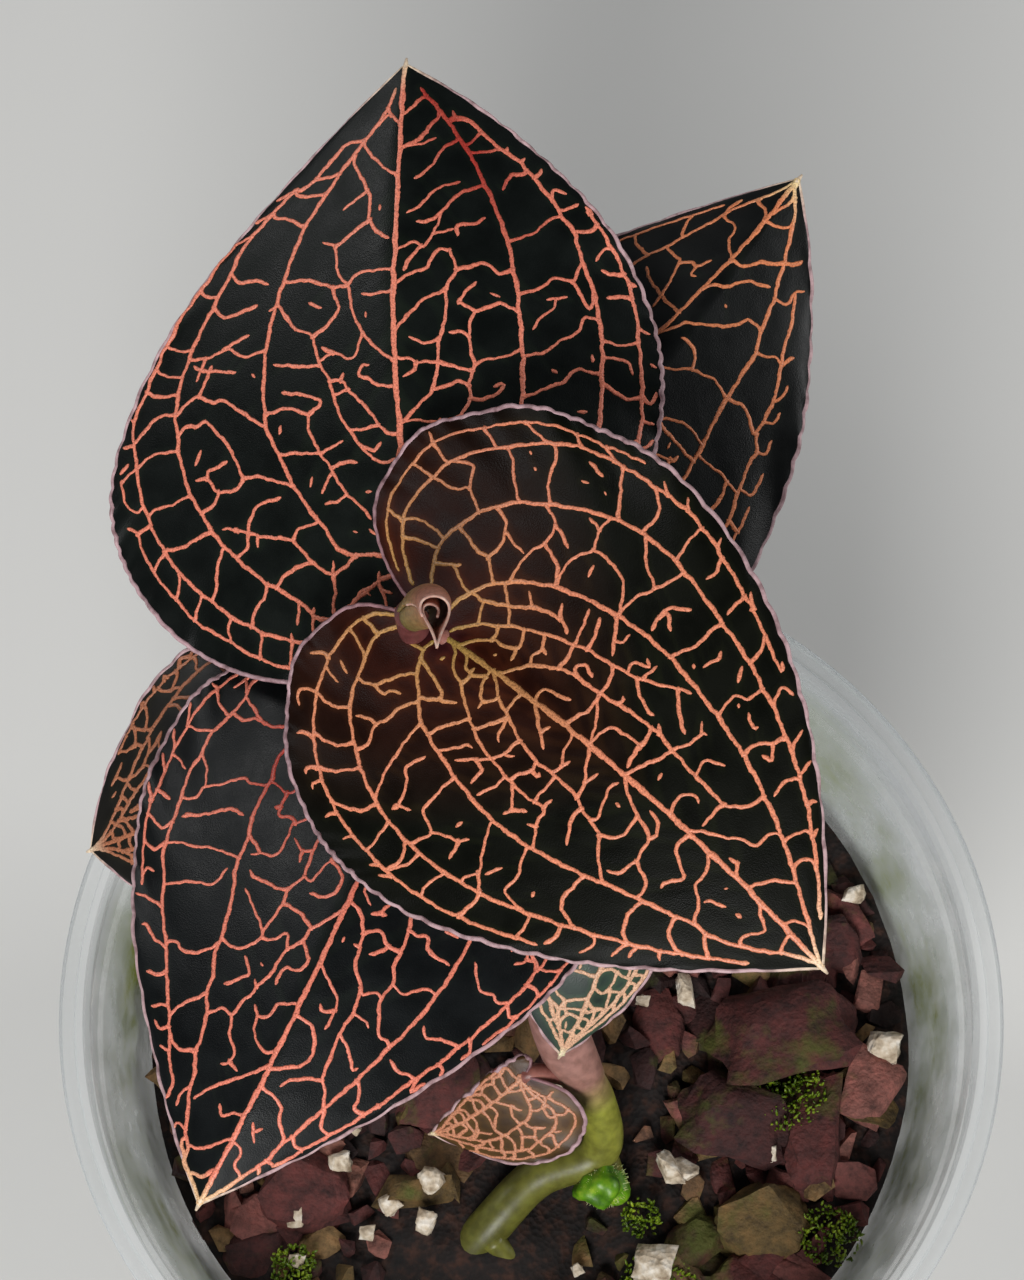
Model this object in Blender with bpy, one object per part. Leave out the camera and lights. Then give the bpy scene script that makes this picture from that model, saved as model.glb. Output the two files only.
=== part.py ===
"""Jewel orchid rooted in bark mix in a clear plastic pot.

Seven net-veined leaves and one rolled young leaf stand on a stem that creeps over the mix and then
leans back. Metres, +Z up. The origin is the middle of the pot's flat base, and the plant's front is -Y.
"""

import math
import random
from dataclasses import dataclass

import bmesh
import bpy
import numpy as np
from mathutils import Matrix, Vector, noise

MM = 0.001
GAP = 0.35 * MM  # air between pieces that touch on the real plant

# Pot: a clear cup with a down-turned lip.
POT_HEIGHT = 90 * MM
RIM_RADIUS = 58.5 * MM
NECK_RADIUS = 54.2 * MM
FOOT_RADIUS = 43.0 * MM
POT_WALL = 1.0 * MM
SHOULDER_HEIGHT = 80 * MM
COLLAR_STEP = 1.5 * MM
LIP_DROP = 3.6 * MM
LIP_ROLL = 1.9 * MM
BASE_RECESS = 1.2 * MM
PAD_RADIUS = 12 * MM
FOOT_WIDTH = 5 * MM
POT_SEGMENTS = 42
DRAIN_HOLES = 6
DRAIN_RADIUS = 3 * MM
DRAIN_CIRCLE = 25 * MM

# Bark mix.
MIX_TOP = 68 * MM
MIX_ROUGHNESS = 2.2 * MM
MIX_SEGMENTS = 32
MIX_RINGS = 6
CHIP_COUNT = 46
CHIP_LENGTH = (6.5 * MM, 12 * MM)
CHIP_SINK = 0.9 * MM
CHIP_SEED = 7
MIX_TURN = 0.37  # share of a segment that the mix is turned by, so that its edges miss the pot's
BIG_CHIPS = [  # x, y and length in millimetres
    (25, -3, 17),
    (38, 18, 16),
    (30, -24, 14),
    (-27, -22, 13),
    (41, -9, 12),
    (20, 14, 13),
    (-34, 3, 14),
]

# Stem and roots.
STEM_RADIUS = 2.4 * MM
SHEATH_RADIUS = 3.4 * MM
RHIZOME_RADIUS = 2.9 * MM
STEM_SIDES = 12
STEM_STEPS = 4  # rings between two points of the path
STEM_PATH = [
    Vector(p) * MM
    for p in (
        (-13, -32, 60),
        (-5.5, -25, 69),
        (0.8, -19, 72),
        (8.6, -16.0, 74),
        (8.2, -11.2, 82),
        (4.4, -6.2, 91),
        (0.6, 2, 101),
        (-3.5, 11.5, 113),
        (-6.8, 20.5, 125),
        (-10, 26.8, 136),
        (-12.8, 28.8, 147),
        (-13.4, 29.0, 151.5),
    )
]
NODE_SHARES = (0.36, 0.50, 0.62, 0.73, 0.83, 0.92)  # where a sheath ends, along the stem
ROOT_RADIUS = 1.5 * MM
ROOT_SIDES = 8
ROOT_PATHS = [
    [Vector(p) * MM for p in path]
    for path in (
        ((8.6, -14, 75), (10.5, -18.5, 72), (11.5, -21, 66), (12, -22, 56), (10, -20, 44)),
        ((2.5, -20, 73), (0, -15, 70), (-2, -12, 63), (-4, -8, 52), (-2, -4, 40)),
        ((-5, -26.5, 70), (-1.5, -29.5, 66), (1, -31, 58), (3, -30, 46)),
    )
]

# Young leaf, still rolled.
ROLL_BASE = Vector((-12.9, 28.5, 152.9)) * MM
ROLL_MOUTH = Vector((-9.6, 24.2, 163.5)) * MM
ROLL_RADIUS = 2.35 * MM
ROLL_WALL = 0.7 * MM
ROLL_POINT = 3.4 * MM  # how far its pointed side stands past the mouth
ROLL_HOLLOW = 4 * MM
ROLL_SIDES = 14
ROLL_LAP = 1.6 * MM  # how far the clearances of the stem and of the young leaf lap over each other

# Leaves.
BLADE_THICKNESS = 0.6 * MM
MIDRIB_HANDLES = ((0.33, 0.0), (0.67, 0.0))
VEIN_SPREAD = 0.2
PETIOLE_RADIUS = 1.15 * MM
PETIOLE_SIDES = 8
KEEL_REACH = 0.55  # share of the blade that the petiole's keel runs under
KEEL_RADIUS = 0.4 * MM
RIPPLE_LEFT, RIPPLE_RIGHT = 0.8, 2.6  # where the wave of each margin starts, in radians
STEM_CLEARANCE = 1.3 * GAP
CLEAR_RADIUS = 0.55 * MM  # air round the stem where a blade wraps it


@dataclass
class Leaf:
    """A blade from its petiole to its tip, in millimetres. Each margin is a cubic curve, and its two
    handles are given in leaf lengths: towards the tip, then away from the midrib."""

    name: str
    base: tuple
    tip: tuple
    facing: tuple
    left: tuple
    right: tuple
    petiole_from: float
    droop: float
    fold_left: float
    fold_right: float
    cup: float = 0.10
    bend: float = 0.0
    wave: float = 0.010
    waves: int = 6
    lobe_lift: float = 0.0
    arrival: float = 0.35
    rows: int = 20
    columns: int = 6


LEAVES = [
    Leaf(
        "leaf_1_front",
        base=(-9.6, 27.2, 149.0),
        tip=(30.0, -9.0, 148.0),
        facing=(0.09, -0.24, 1),
        left=((-0.83, 0.02), (-0.04, 1.18)),
        right=((-0.68, 0.02), (0.07, 1.10)),
        petiole_from=142.0,
        droop=0.61,
        fold_left=-0.21,
        fold_right=0.27,
        cup=0.11,
        bend=0.02,
    ),
    Leaf(
        "leaf_2_back_left",
        base=(-12.4, 35.2, 141.0),
        tip=(-14.6, 96.1, 150.8),
        facing=(-0.04, -0.20, 1),
        left=((-0.37, 0.02), (-0.08, 1.38)),
        right=((-0.27, 0.14), (0.46, 1.02)),
        petiole_from=138.0,
        droop=0.31,
        fold_left=0.38,
        fold_right=0.15,
        cup=0.05,
        bend=0.034,
    ),
    Leaf(
        "leaf_3_back_right",
        base=(-6.5, 37.0, 137.0),
        tip=(31.1, 86.7, 140.6),
        facing=(0.13, -0.22, 1),
        left=((-0.47, 0.33), (0.33, 0.95)),
        right=((-0.54, 0.22), (0.32, 0.75)),
        petiole_from=130.0,
        droop=0.30,
        fold_left=0.74,
        fold_right=0.11,
        cup=0.08,
        lobe_lift=0.1,
    ),
    Leaf(
        "leaf_4_front_left",
        base=(-12.2, 22.2, 132.8),
        tip=(-36.8, -29.8, 122.9),
        facing=(-0.12, -0.22, 1),
        left=((-0.45, 0.41), (0.06, 0.83)),
        right=((-0.34, 0.42), (0.30, 0.92)),
        petiole_from=126.0,
        droop=0.52,
        fold_left=0.31,
        fold_right=0.30,
        cup=0.11,
        bend=0.023,
        lobe_lift=-0.5,
    ),
    Leaf(
        "leaf_5_far_left",
        base=(-10.1, 20.5, 121.0),
        tip=(-52.7, 14.5, 107.6),
        facing=(-0.29, -0.05, 1),
        left=((-0.50, 0.30), (0.30, 0.85)),
        right=((-0.52, 0.29), (0.57, 0.94)),
        petiole_from=114.0,
        droop=0.85,
        fold_left=0.15,
        fold_right=-0.10,
        rows=16,
        columns=5,
    ),
    Leaf(
        "leaf_6_low_right",
        base=(11.5, 9.3, 111.5),
        tip=(3.5, -8.2, 97.8),
        facing=(0.14, -0.71, 1),
        left=((-0.42, 0.22), (0.34, 0.51)),
        right=((-0.39, 0.31), (0.48, 0.82)),
        petiole_from=98.0,
        droop=0.61,
        fold_left=0.19,
        fold_right=0.06,
        wave=0.014,
        waves=4,
        arrival=-0.1,
        rows=12,
        columns=5,
    ),
    Leaf(
        "leaf_7_lowest",
        base=(-0.9, -9.6, 91.0),
        tip=(-12.3, -14.7, 80.0),
        facing=(-0.04, -0.51, 1),
        left=((-0.54, 0.65), (0.33, 1.06)),
        right=((-0.42, 0.14), (0.36, 0.29)),
        petiole_from=83.0,
        droop=0.52,
        fold_left=0.06,
        fold_right=0.09,
        bend=0.03,
        wave=0.014,
        waves=4,
        rows=12,
        columns=5,
    ),
]


def clear_scene():
    for obj in list(bpy.data.objects):
        bpy.data.objects.remove(obj)


def make_material(name, colour, roughness, alpha=1.0):
    material = bpy.data.materials.new(name)
    material.use_nodes = True
    shader = material.node_tree.nodes["Principled BSDF"]
    shader.inputs["Base Color"].default_value = (*colour, 1.0)
    shader.inputs["Roughness"].default_value = roughness
    shader.inputs["Alpha"].default_value = alpha
    return material


def add_object(name, points, faces, material=None):
    mesh = bpy.data.meshes.new(name)
    mesh.from_pydata([tuple(p) for p in points], [], faces)
    mesh.update()
    obj = bpy.data.objects.new(name, mesh)
    bpy.context.scene.collection.objects.link(obj)
    if material is not None:
        mesh.materials.append(material)
    return obj


def make_helper(obj):
    """A cutter or a piece that a Boolean takes in: it isn't a part of its own."""
    obj.hide_render = True
    obj.display_type = "WIRE"
    return obj


def add_boolean(obj, other, operation):
    modifier = obj.modifiers.new(f"{operation.lower()} {other.name}", "BOOLEAN")
    modifier.operation = operation
    modifier.object = other
    modifier.solver = "EXACT"


def smooth_path(points, steps):
    """A curve through all the points, with this many steps between each two (Catmull-Rom)."""
    ends = [2 * points[0] - points[1], *points, 2 * points[-1] - points[-2]]
    path = []
    for a, b, c, d in zip(ends, ends[1:], ends[2:], ends[3:]):
        for i in range(steps):
            u = i / steps
            bow = (2 * a - 5 * b + 4 * c - d) * u**2 + (3 * b - a - 3 * c + d) * u**3
            path.append(0.5 * (2 * b + (c - a) * u + bow))
    return path + [points[-1].copy()]


def tube_mesh(path, radii, sides):
    """Rings square to the path, joined and capped. The frame is carried along so that it never twists."""
    points = []
    side = None
    for i, centre in enumerate(path):
        tangent = (path[min(i + 1, len(path) - 1)] - path[max(i - 1, 0)]).normalized()
        if side is None:
            side = tangent.orthogonal().normalized()
        side = (side - tangent * side.dot(tangent)).normalized()
        up = tangent.cross(side)
        for k in range(sides):
            turn = 2 * math.pi * k / sides
            points.append(centre + radii[i] * (math.cos(turn) * side + math.sin(turn) * up))
    faces = []
    for i in range(len(path) - 1):
        for k in range(sides):
            a, b = i * sides + k, i * sides + (k + 1) % sides
            faces.append((a, b, b + sides, a + sides))
    last = (len(path) - 1) * sides
    faces.append(tuple(range(sides - 1, -1, -1)))
    faces.append(tuple(range(last, last + sides)))
    return points, faces


def share_along(path):
    """How far along the path each point is, from 0 to 1."""
    steps = [0.0] + [(b - a).length for a, b in zip(path, path[1:])]
    reached = np.cumsum(steps)
    return (reached / reached[-1]).tolist()


def stem_radius(share):
    """The bare stem is thicker where it creeps. Each leaf's sheath swells on it and ends in a step."""
    bare = RHIZOME_RADIUS + (STEM_RADIUS - RHIZOME_RADIUS) * min(1, share / NODE_SHARES[0])
    if share < NODE_SHARES[0]:
        return bare
    start = max(n for n in NODE_SHARES if n <= share)
    end = min((n for n in NODE_SHARES if n > share), default=1.0)
    swell = (share - start) / (end - start)
    return bare + (SHEATH_RADIUS - STEM_RADIUS) * math.sin(math.pi * swell) ** 0.7


def make_stem(material):
    path = smooth_path(STEM_PATH, STEM_STEPS)
    shares = share_along(path)
    stem = add_object("stem", *tube_mesh(path, [stem_radius(s) for s in shares], STEM_SIDES), material)
    for number, root in enumerate(ROOT_PATHS, 1):
        course = smooth_path(root, 2)
        thin = [ROOT_RADIUS * (1 - 0.5 * s) for s in share_along(course)]
        tube = add_object(f"root_{number}", *tube_mesh(course, thin, ROOT_SIDES))
        add_boolean(stem, make_helper(tube), "UNION")
    stem.data.shade_smooth()
    return stem


def make_clearances():
    """The room that blades leave round the stem and round the young leaf."""
    path = smooth_path(STEM_PATH, STEM_STEPS)
    radii = [stem_radius(share) + STEM_CLEARANCE for share in share_along(path)]
    path = [*path, path[-1] + ROLL_LAP * (path[-1] - path[-2]).normalized()]
    radii.append(radii[-1])
    above_mix = 2 * STEM_STEPS
    axis = (ROLL_MOUTH - ROLL_BASE).normalized()
    column = [ROLL_BASE - ROLL_LAP * axis, ROLL_MOUTH + (ROLL_MOUTH - ROLL_BASE)]
    around = [ROLL_RADIUS + CLEAR_RADIUS] * 2
    stem_room = tube_mesh(path[above_mix:], radii[above_mix:], STEM_SIDES)
    roll_room = tube_mesh(column, around, STEM_SIDES)
    return [
        make_helper(add_object("stem_clearance", *stem_room)),
        make_helper(add_object("young_leaf_clearance", *roll_room)),
    ]


def make_mix_holes():
    """Plain holes in the mix for the creeping stem and the roots."""
    holes = []
    path = smooth_path([1.1 * STEM_PATH[0] - 0.1 * STEM_PATH[1], *STEM_PATH[:6]], STEM_STEPS)
    radii = [RHIZOME_RADIUS + 2 * GAP] * len(path)
    holes.append(make_helper(add_object("stem_hole", *tube_mesh(path, radii, STEM_SIDES))))
    for number, root in enumerate(ROOT_PATHS, 1):
        course = smooth_path([*root, root[-1] + (root[-1] - root[-2]) * 0.1], 2)
        wide = [ROOT_RADIUS + 2 * GAP] * len(course)
        holes.append(make_helper(add_object(f"root_hole_{number}", *tube_mesh(course, wide, ROOT_SIDES))))
    return holes


def blade_plan(leaf, s, t):
    """A point of the flat blade in leaf lengths. s runs from the petiole, 0, to the tip, 1. t runs from
    the right margin, -1, over the midrib, 0, to the left margin, 1, and each t is the line of a vein."""
    share = abs(t)
    near, far = leaf.left if t >= 0 else leaf.right
    near_x = MIDRIB_HANDLES[0][0] * (1 - share) + near[0] * share
    near_y = near[1] * share + VEIN_SPREAD * math.sin(math.pi * share)
    far_x = MIDRIB_HANDLES[1][0] * (1 - share) + far[0] * share
    far_y = far[1] * share
    rise, fall = 3 * (1 - s) ** 2 * s, 3 * (1 - s) * s**2
    return rise * near_x + fall * far_x + s**3, rise * near_y + fall * far_y


def blade_local(leaf, s, t):
    """The blade's middle surface before it is placed, in leaf lengths. Each half folds down from the
    midrib and cups, and the whole blade then droops along an arc."""
    x, out = blade_plan(leaf, s, t)
    fold = leaf.fold_left if t >= 0 else leaf.fold_right
    phase = 2 * math.pi * leaf.waves * s + (RIPPLE_LEFT if t >= 0 else RIPPLE_RIGHT)
    ripple = math.sin(phase) * math.sin(math.pi * s) ** 0.5
    height = leaf.wave * abs(t) ** 4 * ripple - leaf.cup * out**2 + leaf.lobe_lift * min(x, 0) ** 2
    height -= out * math.sin(fold)
    ahead = max(x, 0)
    across = math.copysign(out * math.cos(fold), t) + 4 * leaf.bend * ahead * max(1 - x, 0)
    turn = leaf.droop * ahead
    along = math.sin(turn) / leaf.droop + min(x, 0)
    sunk = (1 - math.cos(turn)) / leaf.droop
    return Vector((along + height * math.sin(turn), across, height * math.cos(turn) - sunk))


def axes_of(forward, up):
    """A turn whose columns are forward, the left side and up, made square to each other."""
    x = forward.normalized()
    z = (up - x * up.dot(x)).normalized()
    return Matrix((x, z.cross(x), z)).transposed()


def blade_placer(leaf):
    """A function from the blade's own coordinates to the plant's, so that base and tip fall in place."""
    base, tip = Vector(leaf.base) * MM, Vector(leaf.tip) * MM
    own_base, own_tip = blade_local(leaf, 0, 0), blade_local(leaf, 1, 0)
    chord = own_tip - own_base
    turn = axes_of(tip - base, Vector(leaf.facing)) @ axes_of(chord, Vector((0, 0, 1))).transposed()
    scale = (tip - base).length / chord.length
    return lambda s, t: base + scale * (turn @ (blade_local(leaf, s, t) - own_base))


def blade_surface(leaf):
    """The middle surface: a fan at each end and rows of cells between, split alike all over."""
    place = blade_placer(leaf)
    across = [k / leaf.columns for k in range(-leaf.columns, leaf.columns + 1)]
    width = len(across)
    points = [place(0, 0)]
    for row in range(1, leaf.rows):
        points += [place(row / leaf.rows, t) for t in across]
    points.append(place(1, 0))
    last = len(points) - 1
    faces = [(0, 1 + k, 2 + k) for k in range(width - 1)]
    for row in range(leaf.rows - 2):
        for k in range(width - 1):
            a = 1 + row * width + k
            faces += [(a, a + width, a + width + 1), (a, a + width + 1, a + 1)]
    final = last - width
    faces += [(final + k, last, final + k + 1) for k in range(width - 1)]
    left = [0, *[row * width + width for row in range(leaf.rows - 1)], last]
    right = [0, *[row * width + 1 for row in range(leaf.rows - 1)], last]
    return np.array([tuple(p) for p in points]), faces, left, right


def vertex_normals(points, faces):
    corners = points[np.array(faces)]
    flat = np.cross(corners[:, 1] - corners[:, 0], corners[:, 2] - corners[:, 0])
    normals = np.zeros_like(points)
    for corner in range(3):
        np.add.at(normals, np.array(faces)[:, corner], flat)
    return normals / np.linalg.norm(normals, axis=1, keepdims=True)


def make_blade(leaf, material):
    points, faces, left, right = blade_surface(leaf)
    normals = vertex_normals(points, faces)
    half = BLADE_THICKNESS / 2
    count = len(points)
    solid = np.concatenate([points + half * normals, points - half * normals])
    skin = list(faces) + [(a + count, c + count, b + count) for a, b, c in faces]
    for a, b in zip(left, left[1:]):
        skin += [(a, b + count, a + count), (a, b, b + count)]
    for a, b in zip(right, right[1:]):
        skin += [(a, b + count, b), (a, a + count, b + count)]
    return add_object(leaf.name, solid, skin, material)


def stem_point(height):
    """The middle of the stem at this height, on its upright stretch."""
    path = smooth_path(STEM_PATH[3:], 8)
    return min(path, key=lambda p: abs(p.z - height))


def petiole_mesh(leaf):
    """The stalk, from the stem to the underside of the blade."""
    place = blade_placer(leaf)
    start, base = stem_point(leaf.petiole_from * MM), place(0, 0)
    ahead = (place(0.06, 0) - base).normalized()
    end = base - 0.25 * MM * Vector(leaf.facing).normalized() + 0.5 * MM * ahead
    reach = (end - start).length
    first = start + 0.4 * reach * Vector((0, 0, 1))
    second = end - leaf.arrival * reach * ahead - 0.3 * reach * Vector((0, 0, 1)) * (1 - leaf.arrival)
    path = []
    for i in range(8):
        u = i / 7
        near = (1 - u) ** 3 * start + 3 * (1 - u) ** 2 * u * first
        path.append(near + 3 * (1 - u) * u**2 * second + u**3 * end)
    return tube_mesh(path, [PETIOLE_RADIUS] * len(path), PETIOLE_SIDES)


def keel_mesh(leaf):
    """The thick part of the midrib, under the blade."""
    place = blade_placer(leaf)
    sunk = 0.3 * BLADE_THICKNESS * Vector(leaf.facing).normalized()
    path = []
    radii = []
    for i in range(6):
        share = i / 5
        path.append(place(0.01 + KEEL_REACH * share, 0) - sunk)
        radii.append(PETIOLE_RADIUS + (KEEL_RADIUS - PETIOLE_RADIUS) * share**0.6)
    return tube_mesh(path, radii, PETIOLE_SIDES)


def make_leaf(leaf, material, clearances):
    blade = make_blade(leaf, material)
    keel = add_object(f"{leaf.name}_keel", *keel_mesh(leaf))
    petiole = add_object(f"{leaf.name}_petiole", *petiole_mesh(leaf))
    add_boolean(blade, make_helper(keel), "UNION")
    add_boolean(blade, make_helper(petiole), "UNION")
    for clearance in clearances:
        add_boolean(blade, clearance, "DIFFERENCE")
    return blade


def make_young_leaf(material):
    """A rolled leaf: a tapered tube with a slanting, hollow mouth that ends in a point."""
    axis = ROLL_MOUTH - ROLL_BASE
    turn = axes_of(axis, Vector((0, -1, 0)))
    length = axis.length

    def ring(height, radius, slant):
        found = []
        for k in range(ROLL_SIDES):
            angle = 2 * math.pi * k / ROLL_SIDES
            point = slant * ROLL_POINT * (0.5 + 0.5 * math.cos(angle)) ** 2
            own = Vector((height + point, radius * math.sin(angle), radius * math.cos(angle)))
            found.append(ROLL_BASE + turn @ own)
        return found

    outer = [(0, 0.82, 0), (0.25, 1.0, 0), (0.5, 0.98, 0.15), (0.75, 0.85, 0.55), (1.0, 0.62, 1.0)]
    rings = [ring(share * length, size * ROLL_RADIUS, slant) for share, size, slant in outer]
    inside = length - ROLL_HOLLOW
    rings.append(ring(length, 0.62 * ROLL_RADIUS - ROLL_WALL, 0.97))
    rings.append(ring(inside, 0.80 * ROLL_RADIUS - ROLL_WALL, 0.3))
    points = [p for r in rings for p in r]
    faces = [tuple(range(ROLL_SIDES - 1, -1, -1))]
    for i in range(len(rings) - 1):
        for k in range(ROLL_SIDES):
            a, b = i * ROLL_SIDES + k, i * ROLL_SIDES + (k + 1) % ROLL_SIDES
            faces.append((a, b, b + ROLL_SIDES, a + ROLL_SIDES))
    last = (len(rings) - 1) * ROLL_SIDES
    faces.append(tuple(range(last, last + ROLL_SIDES)))
    roll = add_object("young_leaf", points, faces, material)
    outward(roll)
    roll.data.shade_smooth()
    return roll


def outward(obj):
    """Turns every face of a closed mesh to look out."""
    shape = bmesh.new()
    shape.from_mesh(obj.data)
    bmesh.ops.recalc_face_normals(shape, faces=shape.faces[:])
    shape.to_mesh(obj.data)
    shape.free()


def inner_radius(height):
    """The pot's inside radius at a height under the collar."""
    outside = FOOT_RADIUS + (NECK_RADIUS - FOOT_RADIUS) * height / SHOULDER_HEIGHT
    return outside - POT_WALL


def pot_profile():
    """The wall's section as a closed outline of (radius, height), from the base's middle outwards."""
    floor = BASE_RECESS + POT_WALL
    collar = NECK_RADIUS + COLLAR_STEP
    step_top = SHOULDER_HEIGHT + COLLAR_STEP
    groove = RIM_RADIUS - LIP_ROLL
    under = POT_HEIGHT - 0.5 * LIP_ROLL - POT_WALL
    foot = FOOT_RADIUS - 0.8 * MM
    return [
        (0, 0),
        (PAD_RADIUS, 0),
        (PAD_RADIUS + BASE_RECESS, BASE_RECESS),
        (foot - FOOT_WIDTH, BASE_RECESS),
        (foot - FOOT_WIDTH + BASE_RECESS, 0),
        (foot, 0),
        (FOOT_RADIUS + 0.1 * MM, 1.2 * MM),
        (NECK_RADIUS, SHOULDER_HEIGHT),
        (collar, step_top),
        (collar, under),
        (groove, under),
        (groove + 0.4 * MM, POT_HEIGHT - LIP_DROP),
        (RIM_RADIUS, POT_HEIGHT - LIP_DROP),
        (RIM_RADIUS, POT_HEIGHT - 0.5 * LIP_ROLL),
        (RIM_RADIUS - 0.28 * LIP_ROLL, POT_HEIGHT - 0.1 * LIP_ROLL),
        (RIM_RADIUS - 0.55 * LIP_ROLL, POT_HEIGHT),
        (groove, POT_HEIGHT - 0.5 * LIP_ROLL),
        (collar + 0.2 * MM, POT_HEIGHT - 0.2 * LIP_ROLL),
        (collar - POT_WALL, POT_HEIGHT - 0.5 * LIP_ROLL),
        (collar - POT_WALL, step_top + 0.4 * MM),
        (NECK_RADIUS - POT_WALL, SHOULDER_HEIGHT),
        (inner_radius(floor + 1.5 * MM), floor + 1.5 * MM),
        (inner_radius(0) - 1.5 * MM, floor),
        (0, floor),
    ]


def turned_mesh(profile, segments):
    """A profile whose two ends lie on the axis, turned round it."""
    points = [(0, 0, profile[0][1]), (0, 0, profile[-1][1])]
    for radius, height in profile[1:-1]:
        for k in range(segments):
            turn = 2 * math.pi * k / segments
            points.append((radius * math.cos(turn), radius * math.sin(turn), height))
    rings = len(profile) - 2
    faces = []
    for k in range(segments):
        following = (k + 1) % segments
        faces.append((0, 2 + following, 2 + k))
        for ring in range(rings - 1):
            a, b = 2 + ring * segments + k, 2 + ring * segments + following
            faces.append((a, b, b + segments, a + segments))
        top = 2 + (rings - 1) * segments
        faces.append((1, top + k, top + following))
    return points, faces


def make_pot(material):
    pot = add_object("pot", *turned_mesh(pot_profile(), POT_SEGMENTS), material)
    outward(pot)
    for number in range(DRAIN_HOLES):
        turn = 2 * math.pi * (number + 0.3) / DRAIN_HOLES
        bpy.ops.mesh.primitive_cylinder_add(
            vertices=10,
            radius=DRAIN_RADIUS,
            depth=12 * MM,
            location=(DRAIN_CIRCLE * math.cos(turn), DRAIN_CIRCLE * math.sin(turn), 0),
        )
        drill = make_helper(bpy.context.object)
        drill.name = f"drain_drill_{number + 1}"
        add_boolean(pot, drill, "DIFFERENCE")
    pot.data.shade_smooth()
    pot.data.set_sharp_from_angle(angle=math.radians(35))
    return pot


def mix_height(x, y):
    """The lie of the mix: a rough heap, a little higher in the middle."""
    rough = noise.noise(Vector((x, y, 0)) / (14 * MM)) + 0.5 * noise.noise(Vector((x, y, 3)) / (6 * MM))
    dome = 1 - (math.hypot(x, y) / inner_radius(MIX_TOP)) ** 2
    return MIX_TOP + MIX_ROUGHNESS * rough + 1.5 * MM * dome


def mix_core():
    """The pot's fill: its sides follow the wall, and its top follows the heap."""
    floor = BASE_RECESS + POT_WALL + GAP
    points = [(0, 0, floor)]
    faces = []
    levels = [floor, floor + 2.5 * MM, MIX_TOP * 0.5, MIX_TOP - 5 * MM]
    rings = []
    for level in levels:
        inset = 2.5 * MM if level == floor else 0
        rings.append((inner_radius(level) - GAP - inset, level))
    for step in range(MIX_RINGS):
        rings.append(((inner_radius(MIX_TOP) - 2 * GAP) * (1 - step / MIX_RINGS), None))
    for radius, level in rings:
        for k in range(MIX_SEGMENTS):
            turn = 2 * math.pi * (k + MIX_TURN) / MIX_SEGMENTS
            x, y = radius * math.cos(turn), radius * math.sin(turn)
            points.append((x, y, mix_height(x, y) if level is None else level))
    points.append((0, 0, mix_height(0, 0)))
    last = len(points) - 1
    for k in range(MIX_SEGMENTS):
        following = (k + 1) % MIX_SEGMENTS
        faces.append((0, 1 + following, 1 + k))
        for ring in range(len(rings) - 1):
            a, b = 1 + ring * MIX_SEGMENTS + k, 1 + ring * MIX_SEGMENTS + following
            faces += [(a, b, b + MIX_SEGMENTS), (a, b + MIX_SEGMENTS, a + MIX_SEGMENTS)]
        top = 1 + (len(rings) - 1) * MIX_SEGMENTS
        faces.append((last, top + k, top + following))
    return points, faces


def clear_of_plant(x, y, radius):
    """Whether a chip here stays off the creeping stem and the roots."""
    low = smooth_path(STEM_PATH[:5], STEM_STEPS) + [p for path in ROOT_PATHS for p in path[:3]]
    return all(math.hypot(p.x - x, p.y - y) > radius + RHIZOME_RADIUS + 3 * GAP for p in low)


def make_chip(name, place, length, shape, rng, collection):
    """One angular piece of bark: a coarse ball pulled long and flat, and knocked out of true."""
    turn = Matrix.Rotation(rng.uniform(0, 2 * math.pi), 3, "Z")
    turn = turn @ Matrix.Rotation(rng.uniform(-0.4, 0.4), 3, "X")
    ball = bmesh.new()
    bmesh.ops.create_icosphere(ball, subdivisions=1, radius=0.5)
    for vertex in ball.verts:
        own = [c * rng.uniform(0.8, 1.15) * size * length for c, size in zip(vertex.co, shape)]
        vertex.co = place + turn @ Vector(own)
    mesh = bpy.data.meshes.new(name)
    ball.to_mesh(mesh)
    ball.free()
    collection.objects.link(bpy.data.objects.new(name, mesh))


def chip_places():
    """The big pieces where they lie in front of and beside the plant, then the rest, spread by the golden
    angle. Each is (x, y, length)."""
    places = [(x * MM, y * MM, length * MM) for x, y, length in BIG_CHIPS]
    rng = random.Random(CHIP_SEED)
    golden = math.pi * (3 - math.sqrt(5))
    reach = inner_radius(MIX_TOP) - 8.5 * MM
    for i in range(CHIP_COUNT):
        radius = reach * math.sqrt((i + 0.5) / CHIP_COUNT)
        length = rng.uniform(*CHIP_LENGTH)
        places.append((radius * math.cos(i * golden), radius * math.sin(i * golden), length))
    return [p for p in places if clear_of_plant(p[0], p[1], p[2] * 0.5)]


def make_bark_mix(material):
    mix = add_object("bark_mix", *mix_core(), material)
    outward(mix)
    chips = bpy.data.collections.new("chips")
    bpy.context.scene.collection.children.link(chips)
    rng = random.Random(CHIP_SEED + 1)
    for number, (x, y, length) in enumerate(chip_places(), 1):
        limit = inner_radius(MIX_TOP) - 2 * GAP - 0.6 * length
        inward = min(1.0, limit / max(math.hypot(x, y), 1e-6))
        x, y = x * inward, y * inward
        sunk = Vector((x, y, mix_height(x, y) + 0.04 * length - CHIP_SINK))
        shape = (1.0, 0.68, rng.uniform(0.38, 0.55))
        make_chip(f"chip_{number}", sunk, length, shape, rng, chips)
    modifier = mix.modifiers.new("chips", "BOOLEAN")
    modifier.operation = "UNION"
    modifier.operand_type = "COLLECTION"
    modifier.collection = chips
    modifier.solver = "EXACT"
    modifier.use_self = True
    bpy.ops.object.select_all(action="DESELECT")
    bpy.context.view_layer.objects.active = mix
    bpy.ops.object.modifier_apply(modifier=modifier.name)
    for chip in list(chips.objects):
        bpy.data.objects.remove(chip)
    for hole in make_mix_holes():
        add_boolean(mix, hole, "DIFFERENCE")
    return mix


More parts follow.
